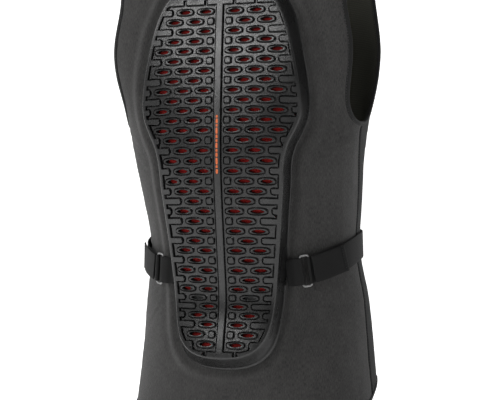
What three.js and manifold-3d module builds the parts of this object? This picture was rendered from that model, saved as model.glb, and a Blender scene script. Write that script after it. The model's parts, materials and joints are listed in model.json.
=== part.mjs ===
// A protector vest: a zipped sleeveless vest with a moulded back plate and a side-adjusted waist belt.
// Millimetres, +Z up. The wearer faces +Y and the wearer's right side is +X.
// The origin is midway between the two shoulder points at the neck, where the wearer carries the vest.
import * as THREE from 'three';
import { mergeVertices } from 'three/addons/utils/BufferGeometryUtils.js';
import Module from 'manifold-3d';

const wasm = await Module();
wasm.setup();

// ---------------------------------------------------------------- driving dimensions

// Torso sections: height, half width, back depth, depth of the widest point, squareness of the back.
const SECTIONS = [
  [-720, 182, -113, 6, 2.4],
  [-610, 171, -111, 20, 2.38],
  [-524, 163.5, -97, 13, 2.34],
  [-452, 152.8, -103.5, 4, 2.3],
  [-380, 159, -112, -10, 2.4],
  [-322, 166, -116.5, -25, 2.55],
  [-265, 176, -115.5, -29, 2.7],
  [-207, 192, -112.5, -41, 3],
  [-165, 195.5, -109.5, -42, 3.2],
  [-95, 186, -104, -41, 3.2],
];
const FRONT_SQUARENESS = 2.2;
const SHOULDER_BASE = -95; // the shoulders round over above this height
const SHOULDER_ROUNDNESS = 1.7;
const NECK_RING = { halfWidth: 78, backY: -55, frontY: 45, midY: -5, squareness: 2.2 };
const FRONT_TOP_Y = 96; // the straight front line, at SHOULDER_BASE
const FRONT_LEAN = 26 / 595; // how far it comes forward for each millimetre down

const PANEL_THICKNESS = 2.5;
const LINING_THICKNESS = 1.2;
const GAP = 0.3;
const SEAM_GAP = 0.8;
const SEAM_LAP = 3; // how far a panel's uncut edge reaches under its neighbour
const ROWS_CROWD = 1.4; // above 1 draws a panel's rows closer together near the shoulder
const SMALLEST = 0.12; // detail finer than this is smoothed away

const ARMHOLE = { y: -38, z: -158, halfWidth: 49, halfHeight: 116, squareness: 2.6 };
const BINDING = { width: 7, out: 1.3, in: 3.8 };
const NECK = { halfWidth: 68, frontDrop: 98, backDrop: 22 };
const HEM = { front: -636, drop: 76, cornerY: 43, backY: -113, width: 4 };
const SHOULDER_SEAM = { outerY: -38, innerY: -15 };

// Height and depth of the edges that the side panel joins, carried on up through the armhole.
const SIDE_SEAM_BACK = [[-720, 6], [-550, 5], [-460, 2], [-350, -16], [-281.4, -38], [-34.6, -38]];
const SIDE_SEAM_FRONT = [
  [-720, 66], [-450, 62], [-300, 34], [-225, 13.6], [-180, -8], [-110, -30], [-34.6, -38],
];
const SIDE_PANEL_TOP = -233;

const ZIP = {
  base: -636,
  length: 531,
  tapeEdge: 13.7,
  tapeStart: 3.9,
  tapeThickness: 1,
  teethStart: 0.7,
  teethEnd: 3.6,
  teethBottom: 8,
  teethTop: 517,
  stopTop: 523,
  sliderHeight: 508,
};

// The plate's face: half width against height, from the top middle round to the bottom middle.
const PLATE_OUTLINE = [
  [0, -93], [38, -94.5], [62, -99], [78, -110], [89.5, -129], [98, -153], [106, -190], [111, -222],
  [112.5, -250], [110, -270], [102, -290], [94, -306], [88, -327], [84.5, -364], [81, -393], [75, -450],
  [71.5, -492], [68, -534], [64, -560], [57.5, -578], [46, -591], [28, -598.5], [0, -601],
];
const PLATE = {
  face: 21, // height of the face above the vest
  floor: 18.4, // height of the channels between the raised ovals
  hollow: 13.9,
  core: 12.4,
  flank: 9.5, // how far the sloped sides spread from face to foot
  wall: 5,
  border: 4.5,
};
const RELIEF = {
  firstRow: -124.7,
  rowPitch: 13.27,
  rows: 34,
  halfHeight: 4.7,
  top: 20.6,
  foot: 16,
  ribStart: 8.5,
  spineHalfWidth: 4.6,
};
const WELT = { inner: 6, outer: 19, height: 4 };

const BELT = {
  width: 37,
  thickness: 1.5,
  wire: 1.4,
  loopStart: 85,
  ringIn: 103,
  ringOut: 114.6,
  ringHalfHeight: 21.1,
  ringHeight: 8.2,
  lay: 3.5, // height of the strap's middle where it lies on the vest
  strapStart: 119,
  tabEnd: 167,
  strapEnd: 305,
  // running length from the spine, height of the belt's middle line
  rise: [
    [80, -479], [105, -478.5], [125, -474.5], [145, -468], [165, -461.5], [185, -455], [209, -448.5],
    [235, -444.5], [260, -442.5], [310, -440],
  ],
};

// ---------------------------------------------------------------- small maths

// A smooth curve through rows of [key, value, ...], read at key k. Keys rise or fall all the way.
function smooth(rows, k, column = 1) {
  const up = rows[0][0] < rows[rows.length - 1][0];
  const list = up ? rows : [...rows].reverse();
  const last = list.length - 1;
  const x = Math.min(Math.max(k, list[0][0]), list[last][0]);
  let i = 0;
  while (i < last - 1 && x > list[i + 1][0]) i += 1;
  const slope = (j) => {
    const a = list[Math.max(j - 1, 0)];
    const b = list[Math.min(j + 1, last)];
    return (b[column] - a[column]) / (b[0] - a[0]);
  };
  const h = list[i + 1][0] - list[i][0];
  const t = (x - list[i][0]) / h;
  const t2 = t * t;
  const t3 = t2 * t;
  return (2 * t3 - 3 * t2 + 1) * list[i][column] + (t3 - 2 * t2 + t) * h * slope(i)
    + (3 * t2 - 2 * t3) * list[i + 1][column] + (t3 - t2) * h * slope(i + 1);
}

const mix = (a, b, t) => a + (b - a) * t;
const steps = (n) => Array.from({ length: n + 1 }, (_, i) => i / n);
const ease = (t) => t * t * (3 - 2 * t);

// ---------------------------------------------------------------- the torso surface

const frontY = (z) => FRONT_TOP_Y + (SHOULDER_BASE - Math.min(z, SHOULDER_BASE)) * FRONT_LEAN;

// The section at a height: half width, back and front depth, depth of the widest point, squareness.
function sectionAt(z) {
  const low = Math.min(z, SHOULDER_BASE);
  const s = {
    w: smooth(SECTIONS, low, 1),
    back: smooth(SECTIONS, low, 2),
    mid: smooth(SECTIONS, low, 3),
    n: smooth(SECTIONS, low, 4),
    front: frontY(z),
  };
  if (z > SHOULDER_BASE) {
    const rise = Math.min((z - SHOULDER_BASE) / -SHOULDER_BASE, 1);
    const keep = (1 - rise ** SHOULDER_ROUNDNESS) ** (1 / SHOULDER_ROUNDNESS);
    s.w = mix(NECK_RING.halfWidth, s.w, keep);
    s.back = mix(NECK_RING.backY, s.back, keep);
    s.front = mix(NECK_RING.frontY, s.front, keep);
    s.mid = mix(NECK_RING.midY, s.mid, keep);
    s.n = mix(NECK_RING.squareness, s.n, keep);
  }
  return s;
}

const OUTLINE_STEPS = 120;
const outlines = new Map();

// Half of the section from the middle of the back (share 0) to the middle of the front (share 1).
function outlineAt(z) {
  const key = z.toFixed(3);
  if (outlines.has(key)) return outlines.get(key);
  const s = sectionAt(z);
  const points = [];
  let run = 0;
  for (const t of steps(OUTLINE_STEPS)) {
    const c = Math.cos(t * Math.PI);
    const n = c > 0 ? s.n : FRONT_SQUARENESS;
    const depth = c > 0 ? s.mid - s.back : s.front - s.mid;
    const x = s.w * Math.sin(t * Math.PI) ** (2 / n);
    const y = s.mid - Math.sign(c) * depth * Math.abs(c) ** (2 / n);
    const before = points[points.length - 1];
    if (before) run += Math.hypot(x - before.x, y - before.y);
    points.push({ x: t === 1 ? 0 : x, y, run });
  }
  const made = { points, length: run };
  outlines.set(key, made);
  return made;
}

// The point at a share of the half outline, negative on the wearer's left.
function outlinePoint(share, z) {
  const { points, length } = outlineAt(z);
  const run = Math.min(Math.abs(share), 1) * length;
  let i = 1;
  while (i < points.length - 1 && points[i].run < run) i += 1;
  const a = points[i - 1];
  const b = points[i];
  const t = (run - a.run) / (b.run - a.run);
  return new THREE.Vector3(Math.sign(share) * mix(a.x, b.x, t), mix(a.y, b.y, t), z);
}

// Over the shoulders rows are spaced by angle, so "level" runs evenly where height doesn't.
function heightOf(level) {
  if (level <= SHOULDER_BASE) return level;
  const angle = (1 - level / SHOULDER_BASE) * (Math.PI / 2);
  return SHOULDER_BASE * (1 - Math.sin(angle) ** (2 / SHOULDER_ROUNDNESS));
}

function levelOf(z) {
  if (z <= SHOULDER_BASE) return z;
  const angle = Math.asin(Math.min(1 - z / SHOULDER_BASE, 1) ** (SHOULDER_ROUNDNESS / 2));
  return SHOULDER_BASE * (1 - angle / (Math.PI / 2));
}

const torso = (share, level) => outlinePoint(share, heightOf(Math.min(level, -0.01)));

function normalAt(share, level) {
  const ds = 0.004;
  const dl = 1.5;
  const side = share < 0 ? -1 : 1;
  const s = Math.min(Math.abs(share), 1 - ds);
  const along = torso(side * (s + ds), level).sub(torso(side * Math.max(s - ds, 1e-4), level));
  const up = torso(side * s, Math.min(level + dl, -0.5)).sub(torso(side * s, level - dl));
  const normal = along.cross(up).normalize().multiplyScalar(side);
  if (Math.abs(share) < ds) normal.x = 0;
  return normal.normalize();
}

const offTorso = (share, level, off) => torso(share, level).addScaledVector(normalAt(share, level), off);

// The share at which the outline passes a depth y, and at which it passes a half width x.
function shareAtDepth(z, y) {
  const { points, length } = outlineAt(z);
  let i = 1;
  while (i < points.length - 1 && points[i].y < y) i += 1;
  const a = points[i - 1];
  const b = points[i];
  return mix(a.run, b.run, Math.min(Math.max((y - a.y) / (b.y - a.y), 0), 1)) / length;
}

function shareAtWidth(z, x, front) {
  const { points, length } = outlineAt(z);
  const half = OUTLINE_STEPS / 2;
  let i = front ? points.length - 1 : 1;
  while (front ? i > half + 1 && points[i - 1].x < x : i < half && points[i].x < x) i += front ? -1 : 1;
  const a = points[i - 1];
  const b = points[i];
  return mix(a.run, b.run, Math.min(Math.max((x - a.x) / (b.x - a.x), 0), 1)) / length;
}

// ---------------------------------------------------------------- edges of the cut pieces

const ARMHOLE_TOP = ARMHOLE.z + ARMHOLE.halfHeight;

function neckWidth(z, front, margin) {
  const drop = (front ? NECK.frontDrop : NECK.backDrop) + margin;
  return (NECK.halfWidth + margin) * Math.sqrt(Math.max(1 - (z / drop) ** 2, 0));
}

function hemHeight(share) {
  const y = torso(share, -660).y;
  const t = Math.min(Math.max((HEM.cornerY - y) / (HEM.cornerY - HEM.backY), 0), 1);
  return HEM.front - HEM.drop * t * (1.25 - 0.25 * t);
}

const shoulderSeamShare = (z) => {
  const t = Math.min(Math.max((z - ARMHOLE_TOP) / -ARMHOLE_TOP, 0), 1);
  return shareAtDepth(z, mix(SHOULDER_SEAM.outerY, SHOULDER_SEAM.innerY, t));
};

const inset = (share, z, mm) => share + mm / outlineAt(z).length;

// The share of the outline at which a seam lies, moved forward by "shift".
const seamEdge = (seam, shift) => (z) => inset(
  z < ARMHOLE_TOP ? shareAtDepth(z, smooth(seam, z)) : shoulderSeamShare(z),
  z,
  shift,
);
const backEdge = seamEdge(SIDE_SEAM_BACK, 0);

// ---------------------------------------------------------------- solids

// The volume that the triangles enclose, negative if their faces point in.
function signedVolume(positions, triangles) {
  const corner = (i) => new THREE.Vector3(...positions.slice(3 * i, 3 * i + 3));
  let total = 0;
  for (let i = 0; i < triangles.length; i += 3) {
    const [a, b, c] = [0, 1, 2].map((k) => corner(triangles[i + k]));
    total += a.dot(b.cross(c)) / 6;
  }
  return total;
}

// A closed solid from its corners and triangles, turned so that its faces point out.
function geometryOf(positions, triangles) {
  const index = [...triangles];
  if (signedVolume(positions, index) < 0) {
    for (let i = 0; i < index.length; i += 3) [index[i + 1], index[i + 2]] = [index[i + 2], index[i + 1]];
  }
  const geometry = new THREE.BufferGeometry();
  geometry.setAttribute('position', new THREE.Float32BufferAttribute(positions, 3));
  geometry.setIndex(index);
  return geometry;
}

function solidOf(geometry) {
  const bare = geometry.clone();
  bare.deleteAttribute('normal');
  bare.deleteAttribute('uv');
  const merged = mergeVertices(bare, 1e-4);
  return new wasm.Manifold(new wasm.Mesh({
    numProp: 3,
    vertProperties: new Float32Array(merged.attributes.position.array),
    triVerts: new Uint32Array(merged.index.array),
  }));
}

// The largest single body of a solid, without offcuts or needlessly small triangles.
function geometryFrom(solid) {
  const body = solid.simplify(SMALLEST).decompose().reduce((a, b) => (a.volume() > b.volume() ? a : b));
  const mesh = body.getMesh();
  return geometryOf(Array.from(mesh.vertProperties), Array.from(mesh.triVerts));
}

// A closed solid between two grids of points, top[row][column] outside and bottom[row][column] inside.
function slab(top, bottom) {
  const rows = top.length;
  const cols = top[0].length;
  const positions = [...top.flat(), ...bottom.flat()].flatMap((p) => [p.x, p.y, p.z]);
  const at = (layer, r, c) => layer * rows * cols + r * cols + c;
  const triangles = [];
  const quad = (a, b, c, d) => triangles.push(a, b, c, a, c, d);
  for (let r = 0; r < rows - 1; r += 1) {
    for (let c = 0; c < cols - 1; c += 1) {
      quad(at(0, r, c), at(0, r, c + 1), at(0, r + 1, c + 1), at(0, r + 1, c));
      quad(at(1, r, c), at(1, r + 1, c), at(1, r + 1, c + 1), at(1, r, c + 1));
    }
  }
  for (let c = 0; c < cols - 1; c += 1) {
    quad(at(0, 0, c), at(1, 0, c), at(1, 0, c + 1), at(0, 0, c + 1));
    quad(at(0, rows - 1, c), at(0, rows - 1, c + 1), at(1, rows - 1, c + 1), at(1, rows - 1, c));
  }
  for (let r = 0; r < rows - 1; r += 1) {
    quad(at(0, r, 0), at(0, r + 1, 0), at(1, r + 1, 0), at(1, r, 0));
    quad(at(0, r, cols - 1), at(1, r, cols - 1), at(1, r + 1, cols - 1), at(0, r + 1, cols - 1));
  }
  return geometryOf(positions, triangles);
}

// A patch of the vest. start and end give its side edges as shares at a height, bottom and top its
// lower and upper edges as levels at a share across.
function patch({ start, end, bottom, top, cols, rows, outside = 0, thickness = PANEL_THICKNESS }) {
  const place = (u, v) => {
    const level = mix(top(u), bottom(u), (1 - v) ** ROWS_CROWD);
    const z = heightOf(level);
    return [mix(start(z), end(z), u), level];
  };
  const grid = (off) => steps(rows).map((v) => steps(cols).map((u) => offTorso(...place(u, v), off)));
  return slab(grid(outside), grid(outside - thickness));
}

// Walks up the vest, at a share that depends on the height, until it meets the neck's edge.
function neckLevelAt(shareAt, isFront, margin) {
  const top = levelOf(-0.5);
  for (let level = -115; level < top; level += 0.25) {
    const z = heightOf(level);
    const point = torso(shareAt(z), level);
    if (Math.abs(point.x) < neckWidth(z, isFront(point), margin)) return level;
  }
  return top;
}

// The same for a column of a patch.
function neckLevel(u, start, end, front, margin) {
  return neckLevelAt((z) => mix(start(z), end(z), u), () => front, margin);
}

// A strip swept along a path of {point, normal}: width across, from "low" to "high" along the normal.
function strip(path, width, low, high, closed = false) {
  const n = path.length;
  const rings = path.map(({ point, normal }, i) => {
    const before = path[closed ? (i + n - 1) % n : Math.max(i - 1, 0)].point;
    const after = path[closed ? (i + 1) % n : Math.min(i + 1, n - 1)].point;
    const along = after.clone().sub(before).normalize();
    const across = normal.clone().cross(along).normalize();
    const out = along.clone().cross(across).normalize();
    return [[-1, low], [1, low], [1, high], [-1, high]].map(([side, off]) => point.clone()
      .addScaledVector(across, (side * width) / 2).addScaledVector(out, off));
  });
  return tube(rings, closed);
}

// Closed rings of points joined one to the next, with capped ends unless the whole is a loop.
function tube(rings, closed = false) {
  const sides = rings[0].length;
  const positions = rings.flat().flatMap((p) => [p.x, p.y, p.z]);
  const triangles = [];
  const count = closed ? rings.length : rings.length - 1;
  for (let i = 0; i < count; i += 1) {
    const next = (i + 1) % rings.length;
    for (let k = 0; k < sides; k += 1) {
      const a = i * sides + k;
      const b = i * sides + ((k + 1) % sides);
      const c = next * sides + ((k + 1) % sides);
      const d = next * sides + k;
      triangles.push(a, c, b, a, d, c);
    }
  }
  if (!closed) {
    const last = (rings.length - 1) * sides;
    for (let k = 1; k < sides - 1; k += 1) {
      triangles.push(0, k, k + 1);
      triangles.push(last, last + k + 1, last + k);
    }
  }
  return geometryOf(positions, triangles);
}

function box(width, depth, height, x = 0, y = 0, z = 0) {
  return new THREE.BoxGeometry(width, depth, height).translate(x, y, z);
}

function join(...geometries) {
  return geometryFrom(geometries.map(solidOf).reduce((a, b) => a.add(b)));
}

// A copy mirrored to the wearer's left.
function mirrored(geometry) {
  const positions = Array.from(geometry.attributes.position.array, (v, i) => (i % 3 === 0 ? -v : v));
  return geometryOf(positions, Array.from(geometry.index.array));
}

// ---------------------------------------------------------------- materials and the assembly

const MATERIALS = {
  melange: [0x47494a, 0.9, 0],
  stretch: [0x1b1c1d, 0.85, 0],
  lining: [0x2a2a25, 0.9, 0],
  binding: [0x202122, 0.8, 0],
  plate: [0x2a2b2b, 0.45, 0],
  foam: [0x3a3a38, 0.85, 0],
  redMesh: [0x8c1c1e, 0.9, 0],
  orange: [0xd8541f, 0.6, 0],
  webbing: [0x17181a, 0.8, 0],
  hook: [0x101112, 0.95, 0],
  wire: [0x2b2c2e, 0.3, 0.9],
  teeth: [0x151515, 0.4, 0],
  slider: [0x303133, 0.35, 0.9],
};

const vest = new THREE.Group();

function add(name, geometry, slot, parent = vest) {
  const [color, roughness, metalness] = MATERIALS[slot];
  const mesh = new THREE.Mesh(geometry, new THREE.MeshStandardMaterial({ color, roughness, metalness }));
  mesh.name = name;
  parent.add(mesh);
}

function addPair(name, geometry, slot) {
  add(`${name}_right`, geometry, slot);
  add(`${name}_left`, mirrored(geometry), slot);
}

// ---------------------------------------------------------------- bindings

const onTorso = (share, level) => ({ point: torso(share, level), normal: normalAt(share, level) });
const CUT_DEPTH = 12;

const bindingStrip = (path, width, closed = false) => strip(path, width, -BINDING.in, BINDING.out, closed);

// The room that the fabric leaves for a binding.
const roomFor = (path, width, closed = false) => (
  solidOf(strip(path, width + 4 * GAP, -CUT_DEPTH, CUT_DEPTH, closed))
);
const bothSides = (solid) => solid.add(solid.mirror([1, 0, 0]));

// A prism over a convex outline; place turns its points and the distance along it into space.
function prism(outline, place, from, to) {
  return solidOf(tube([from, to].map((along) => outline.map(([a, b]) => place(a, b, along)))));
}

// The armhole's outline as depth and height.
function armholeOutline(margin, count) {
  const bend = (v) => Math.sign(v) * Math.abs(v) ** (2 / ARMHOLE.squareness);
  return steps(count).slice(0, -1).map((t) => [
    ARMHOLE.y + (ARMHOLE.halfWidth + margin) * bend(Math.cos(t * 2 * Math.PI)),
    ARMHOLE.z + (ARMHOLE.halfHeight + margin) * bend(Math.sin(t * 2 * Math.PI)),
  ]);
}

const armholeMiddle = armholeOutline(BINDING.width / 2, 36);
const armholePath = armholeMiddle.map(([y, z]) => onTorso(shareAtDepth(z, y), levelOf(z)));
addPair('armhole_binding', bindingStrip(armholePath, BINDING.width, true), 'binding');
const armholeCut = bothSides(prism(armholeMiddle, (y, z, x) => new THREE.Vector3(x, y, z), 60, 260)
  .add(roomFor(armholePath, BINDING.width, true)));

// The neck's edge: up from the zip, over the shoulder, and half way round the back of the neck.
function neckPoint(front, t, margin) {
  const drop = (front ? NECK.frontDrop : NECK.backDrop) + margin;
  return [(NECK.halfWidth + margin) * Math.sin(t * (Math.PI / 2)), -drop * Math.cos(t * (Math.PI / 2))];
}

// Its middle line is found on lines of constant share, as the edge of the fabric is.
const NECK_STEPS = [
  0, 0.1, 0.19, 0.26, 0.32, 0.38, 0.43, 0.49, 0.56, 0.62, 0.68, 0.74, 0.8, 0.85, 0.89, 0.93, 0.965, 1,
];
const neckPath = (() => {
  const stop = shareAtWidth(-95, ZIP.tapeEdge + GAP + 2, true);
  const half = NECK_STEPS.map((t) => {
    const share = stop * t;
    const level = neckLevelAt(() => share, (point) => point.y > -5, BINDING.width / 2);
    return onTorso(share, level);
  });
  const other = half.slice(1).map(({ point, normal }) => ({
    point: point.clone().setX(-point.x),
    normal: normal.clone().setX(-normal.x),
  }));
  return [...other.reverse(), ...half];
})();
add('neck_binding', bindingStrip(neckPath, BINDING.width), 'binding');

function neckPlug(front, from, to) {
  const rim = steps(20).map((t) => neckPoint(front, 2 * t - 1, BINDING.width / 2));
  const outline = [...rim, [rim[20][0], 3], [rim[0][0], 3]];
  return prism(outline, (x, z, y) => new THREE.Vector3(x, y, z), from, to);
}
const neckCut = bothSides(roomFor(neckPath, BINDING.width))
  .add(neckPlug(true, -5, 140)).add(neckPlug(false, -90, -5));

const zipEdge = (z, x) => shareAtWidth(z, x, true);
const frontStop = (z) => zipEdge(z, ZIP.tapeEdge + GAP);
const hemStop = frontStop(HEM.front);
const hemPath = steps(44).map((t) => {
  const share = mix(-hemStop, hemStop, t);
  return onTorso(share, hemHeight(share) + HEM.width / 2);
});
add('hem_binding', bindingStrip(hemPath, HEM.width), 'binding');
const cuts = neckCut.add(armholeCut).add(bothSides(roomFor(hemPath, HEM.width)));

// ---------------------------------------------------------------- the vest's fabric

const hemAcross = (start, end) => (u) => hemHeight(mix(start(-660), end(-660), u)) + HEM.width / 2;
const NECK_OVERLAP = -3; // how far the uncut fabric reaches into the neck's opening

const BACK = {
  start: (z) => -backEdge(z),
  end: backEdge,
  cols: 16,
  rows: 16,
};
BACK.bottom = hemAcross(BACK.start, BACK.end);
BACK.top = (u) => neckLevel(u, BACK.start, BACK.end, false, NECK_OVERLAP);

const FRONT = {
  start: (z) => seamEdge(SIDE_SEAM_FRONT, z < ARMHOLE_TOP ? 0 : -SEAM_LAP)(z),
  end: frontStop,
  cols: 6,
  rows: 14,
};
FRONT.bottom = hemAcross(FRONT.start, FRONT.end);
FRONT.top = (u) => neckLevel(u, FRONT.start, FRONT.end, true, NECK_OVERLAP);

const SIDE = {
  start: seamEdge(SIDE_SEAM_BACK, -SEAM_LAP),
  end: seamEdge(SIDE_SEAM_FRONT, SEAM_LAP),
  top: () => SIDE_PANEL_TOP,
  cols: 4,
  rows: 12,
};
SIDE.bottom = hemAcross(SIDE.start, SIDE.end);

// The room that a panel takes where another is sewn to it.
function seamRoom(shape) {
  const wider = {
    ...shape,
    start: (z) => inset(shape.start(z), z, -SEAM_GAP),
    end: (z) => inset(shape.end(z), z, SEAM_GAP),
  };
  return solidOf(patch({ ...wider, outside: CUT_DEPTH, thickness: 2 * CUT_DEPTH }));
}
const backRoom = seamRoom(BACK);
const frontRoom = seamRoom(FRONT);

// A layer of fabric: a patch trimmed to the bindings and to the panels it meets.
const fabric = (shape, outside, thickness, ...rooms) => geometryFrom(
  [cuts, ...rooms].reduce((a, b) => a.subtract(b), solidOf(patch({ ...shape, outside, thickness }))),
);

const LINING_DEPTH = -PANEL_THICKNESS - GAP;
add('back_panel', fabric(BACK, 0, PANEL_THICKNESS), 'melange');
addPair('front_panel', fabric(FRONT, 0, PANEL_THICKNESS, backRoom), 'melange');
addPair('side_panel', fabric(SIDE, 0, PANEL_THICKNESS, backRoom, frontRoom), 'stretch');
add('back_lining', fabric(BACK, LINING_DEPTH, LINING_THICKNESS), 'lining');
addPair('front_lining', fabric(FRONT, LINING_DEPTH, LINING_THICKNESS, backRoom), 'lining');

// Everything up to a small gap above the back panel, to fit what lies on it.
const panelRoom = solidOf(patch({ ...BACK, outside: GAP, thickness: 25 }));

// ---------------------------------------------------------------- the back plate

// A point above the vest's back, at sideways distance x from the spine.
function overBack(x, z, off) {
  const share = Math.sign(x) * shareAtWidth(z, Math.abs(x), false);
  return offTorso(share || 0, z, off);
}

const LAYER_COLUMNS = [-128, -88, -44, 0, 44, 88, 128];
const LAYER_ROWS = [-640, -600, -540, -480, -420, -360, -300, -240, -180, -125, -72];

const outlineCurve = (() => {
  const right = PLATE_OUTLINE.map(([x, z]) => new THREE.Vector2(x, z));
  const left = right.slice(1, -1).reverse().map((p) => new THREE.Vector2(-p.x, p.y));
  return new THREE.CatmullRomCurve3([...right, ...left].map((p) => new THREE.Vector3(p.x, 0, p.y)), true);
})();

// The plate's outline grown by a margin, as points [x, z] running from the top clockwise from behind.
function plateOutline(grow, count) {
  return steps(count).slice(0, -1).map((t) => {
    const p = outlineCurve.getPoint(t);
    const d = outlineCurve.getTangent(t);
    const out = new THREE.Vector2(-d.z, d.x).normalize();
    return [p.x + out.x * grow, p.z + out.y * grow];
  });
}

// A block with the plate's outline: grown by "foot" at the vest and by "face" at the plate's face.
function plateBlank(foot, face, count) {
  const inner = -45;
  const outer = PLATE.face + 45;
  const slope = (face - foot) / PLATE.face;
  const ring = (off) => plateOutline(foot + slope * off, count).map(([x, z]) => overBack(x, z, off));
  const rings = [inner, 0, PLATE.face, outer].map(ring);
  const walls = tube(rings);
  const flat = plateOutline(0, count).map(([x, z]) => new THREE.Vector2(x, z));
  const caps = THREE.ShapeUtils.triangulateShape(flat, []);
  const positions = Array.from(walls.attributes.position.array);
  const body = Array.from(walls.index.array).slice(0, 3 * 2 * count * (rings.length - 1));
  const last = (rings.length - 1) * count;
  const ringOrder = Math.sign(THREE.ShapeUtils.area(flat));
  for (const [a, b, c] of caps) {
    const same = Math.sign(THREE.ShapeUtils.area([flat[a], flat[b], flat[c]])) === ringOrder;
    const [p, q] = same ? [b, c] : [c, b];
    body.push(a, p, q, last + a, last + q, last + p);
  }
  return solidOf(geometryOf(positions, body));
}

// A layer over the back between two heights above the vest.
function layer(low, high) {
  const grid = (off) => LAYER_ROWS.map((z) => LAYER_COLUMNS.map((x) => overBack(x, z, off)));
  return solidOf(slab(grid(high), grid(low)));
}

// A raised block of the relief, between two heights and over a row of distances from the spine.
function raised(across, bottom, top, rows = 1) {
  const grid = (off) => steps(rows).map((v) => across.map((x) => overBack(x, mix(bottom, top, v), off)));
  return solidOf(slab(grid(RELIEF.top), grid(RELIEF.foot)));
}

// Half the width of the plate's face at a height.
function faceHalfWidth(z) {
  const side = PLATE_OUTLINE.map(([x, h]) => [h, x]);
  return z > PLATE_OUTLINE[0][1] || z < PLATE_OUTLINE[PLATE_OUTLINE.length - 1][1] ? 0 : smooth(side, z);
}

// The face's raised work: one rib for each row of ovals on each side, and the spine.
function reliefPieces() {
  const { halfHeight: high, ribStart, spineHalfWidth, firstRow, rowPitch, rows } = RELIEF;
  const pieces = [raised([-spineHalfWidth, spineHalfWidth], -596, -98, 18)];
  for (let row = -1; row <= rows; row += 1) {
    const z = firstRow - row * rowPitch;
    const end = faceHalfWidth(z) - PLATE.border - 1.4;
    const across = [ribStart, ...LAYER_COLUMNS.filter((x) => x > ribStart && x < end - 6), end];
    pieces.push(raised(across, z - high, z + high));
    pieces.push(raised(across.map((x) => -x).reverse(), z - high, z + high));
  }
  return pieces;
}

const face = plateBlank(PLATE.flank, 0, 40);
const inner = plateBlank(PLATE.flank - PLATE.wall, -PLATE.wall, 28);
const window = plateBlank(-PLATE.border, -PLATE.border, 40);
const rim = face.intersect(layer(-12, PLATE.face)).subtract(window);
const shellBody = face.intersect(layer(-12, PLATE.floor)).add(rim)
  .subtract(inner.intersect(layer(-14, PLATE.hollow))).subtract(panelRoom);
const relief = reliefPieces().reduce((a, b) => a.add(b));
add('plate_shell', geometryFrom(shellBody.add(relief)), 'plate');

const coreBlank = plateBlank(PLATE.flank - PLATE.wall - 2 * GAP, -PLATE.wall - 2 * GAP, 28);
add('plate_core', geometryFrom(coreBlank.intersect(layer(-12, PLATE.core)).subtract(panelRoom)), 'foam');
add('vent_mesh', geometryFrom(coreBlank.intersect(layer(PLATE.core + GAP, PLATE.hollow - GAP))), 'redMesh');

const MARKS = { top: -267, bottom: -355, width: 3.4, height: 0.5 };
const markPath = steps(6).map((t) => {
  const z = mix(MARKS.top, MARKS.bottom, t);
  return { point: overBack(0, z, PLATE.face + GAP), normal: normalAt(0, z) };
});
add('spine_marks', strip(markPath, MARKS.width, 0, MARKS.height), 'orange');

// The padded welt that runs round the plate.
const weltRings = (() => {
  const count = 44;
  const profile = [
    [WELT.inner, -2], [WELT.outer, -2], [WELT.outer - 3, WELT.height], [WELT.inner + 3, WELT.height],
  ];
  const outlinesAt = profile.map(([grow]) => plateOutline(PLATE.flank + grow, count));
  return steps(count).slice(0, -1).map((_, i) => profile.map(([, off], k) => {
    const [x, z] = outlinesAt[k][i];
    return overBack(x, z, off);
  }));
})();
add('plate_welt', geometryFrom(solidOf(tube(weltRings, true)).subtract(panelRoom)), 'melange');

// ---------------------------------------------------------------- the front zip

const zip = new THREE.Group();
zip.position.set(0, frontY(ZIP.base), ZIP.base);
zip.rotation.x = Math.asin(FRONT_LEAN);
vest.add(zip);

const alongZip = (x0, x1, y0, y1, z0, z1) => box(
  x1 - x0, y1 - y0, z1 - z0, (x0 + x1) / 2, (y0 + y1) / 2, (z0 + z1) / 2,
);

for (const side of [1, -1]) {
  const name = side > 0 ? 'right' : 'left';
  const piece = (label, x0, x1, y0, y1, z0, z1, material) => {
    const [left, right] = [side * x0, side * x1].sort((a, b) => a - b);
    add(`${label}_${name}`, alongZip(left, right, y0, y1, z0, z1), material, zip);
  };
  piece('zip_tape', ZIP.tapeStart, ZIP.tapeEdge, -2.2, -2.2 + ZIP.tapeThickness, 2, ZIP.length, 'binding');
  piece('zip_teeth', ZIP.teethStart, ZIP.teethEnd, -3, 0.4, ZIP.teethBottom, ZIP.teethTop, 'teeth');
  piece('zip_stop', ZIP.teethStart, ZIP.teethEnd, -3.2, 0.7, ZIP.teethTop + GAP, ZIP.stopTop, 'slider');
}
add('zip_pin', alongZip(-3.5, -1, -3, 0.4, -1, ZIP.teethBottom - GAP), 'teeth', zip);
add('zip_box', alongZip(-0.6, 4.4 - 0.8, -3.4, 0.9, -2, ZIP.teethBottom - GAP), 'teeth', zip);

const SLIDER = { halfWidth: 5.6, halfLength: 7, top: 1, plate: 1.3, bottom: -3.6, post: 0.3 };
const slider = new THREE.Group();
slider.position.z = ZIP.sliderHeight;
zip.add(slider);
add('zip_slider', join(
  box(2 * SLIDER.halfWidth, SLIDER.plate, 2 * SLIDER.halfLength, 0, SLIDER.top + SLIDER.plate / 2, 0),
  box(2 * SLIDER.halfWidth, SLIDER.plate, 2 * SLIDER.halfLength, 0, SLIDER.bottom - SLIDER.plate / 2, 0),
  box(2 * SLIDER.post, SLIDER.top - SLIDER.bottom + 1, 4.4, 0, (SLIDER.top + SLIDER.bottom) / 2, 4.6),
  box(2.2, 3.6, 1.6, 0, SLIDER.top + SLIDER.plate + 1.4, 4.2),
  box(2.2, 3.6, 1.6, 0, SLIDER.top + SLIDER.plate + 1.4, -4.2),
  box(2.2, 1.2, 10, 0, SLIDER.top + SLIDER.plate + 3.5, 0),
), 'slider', slider);

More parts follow.
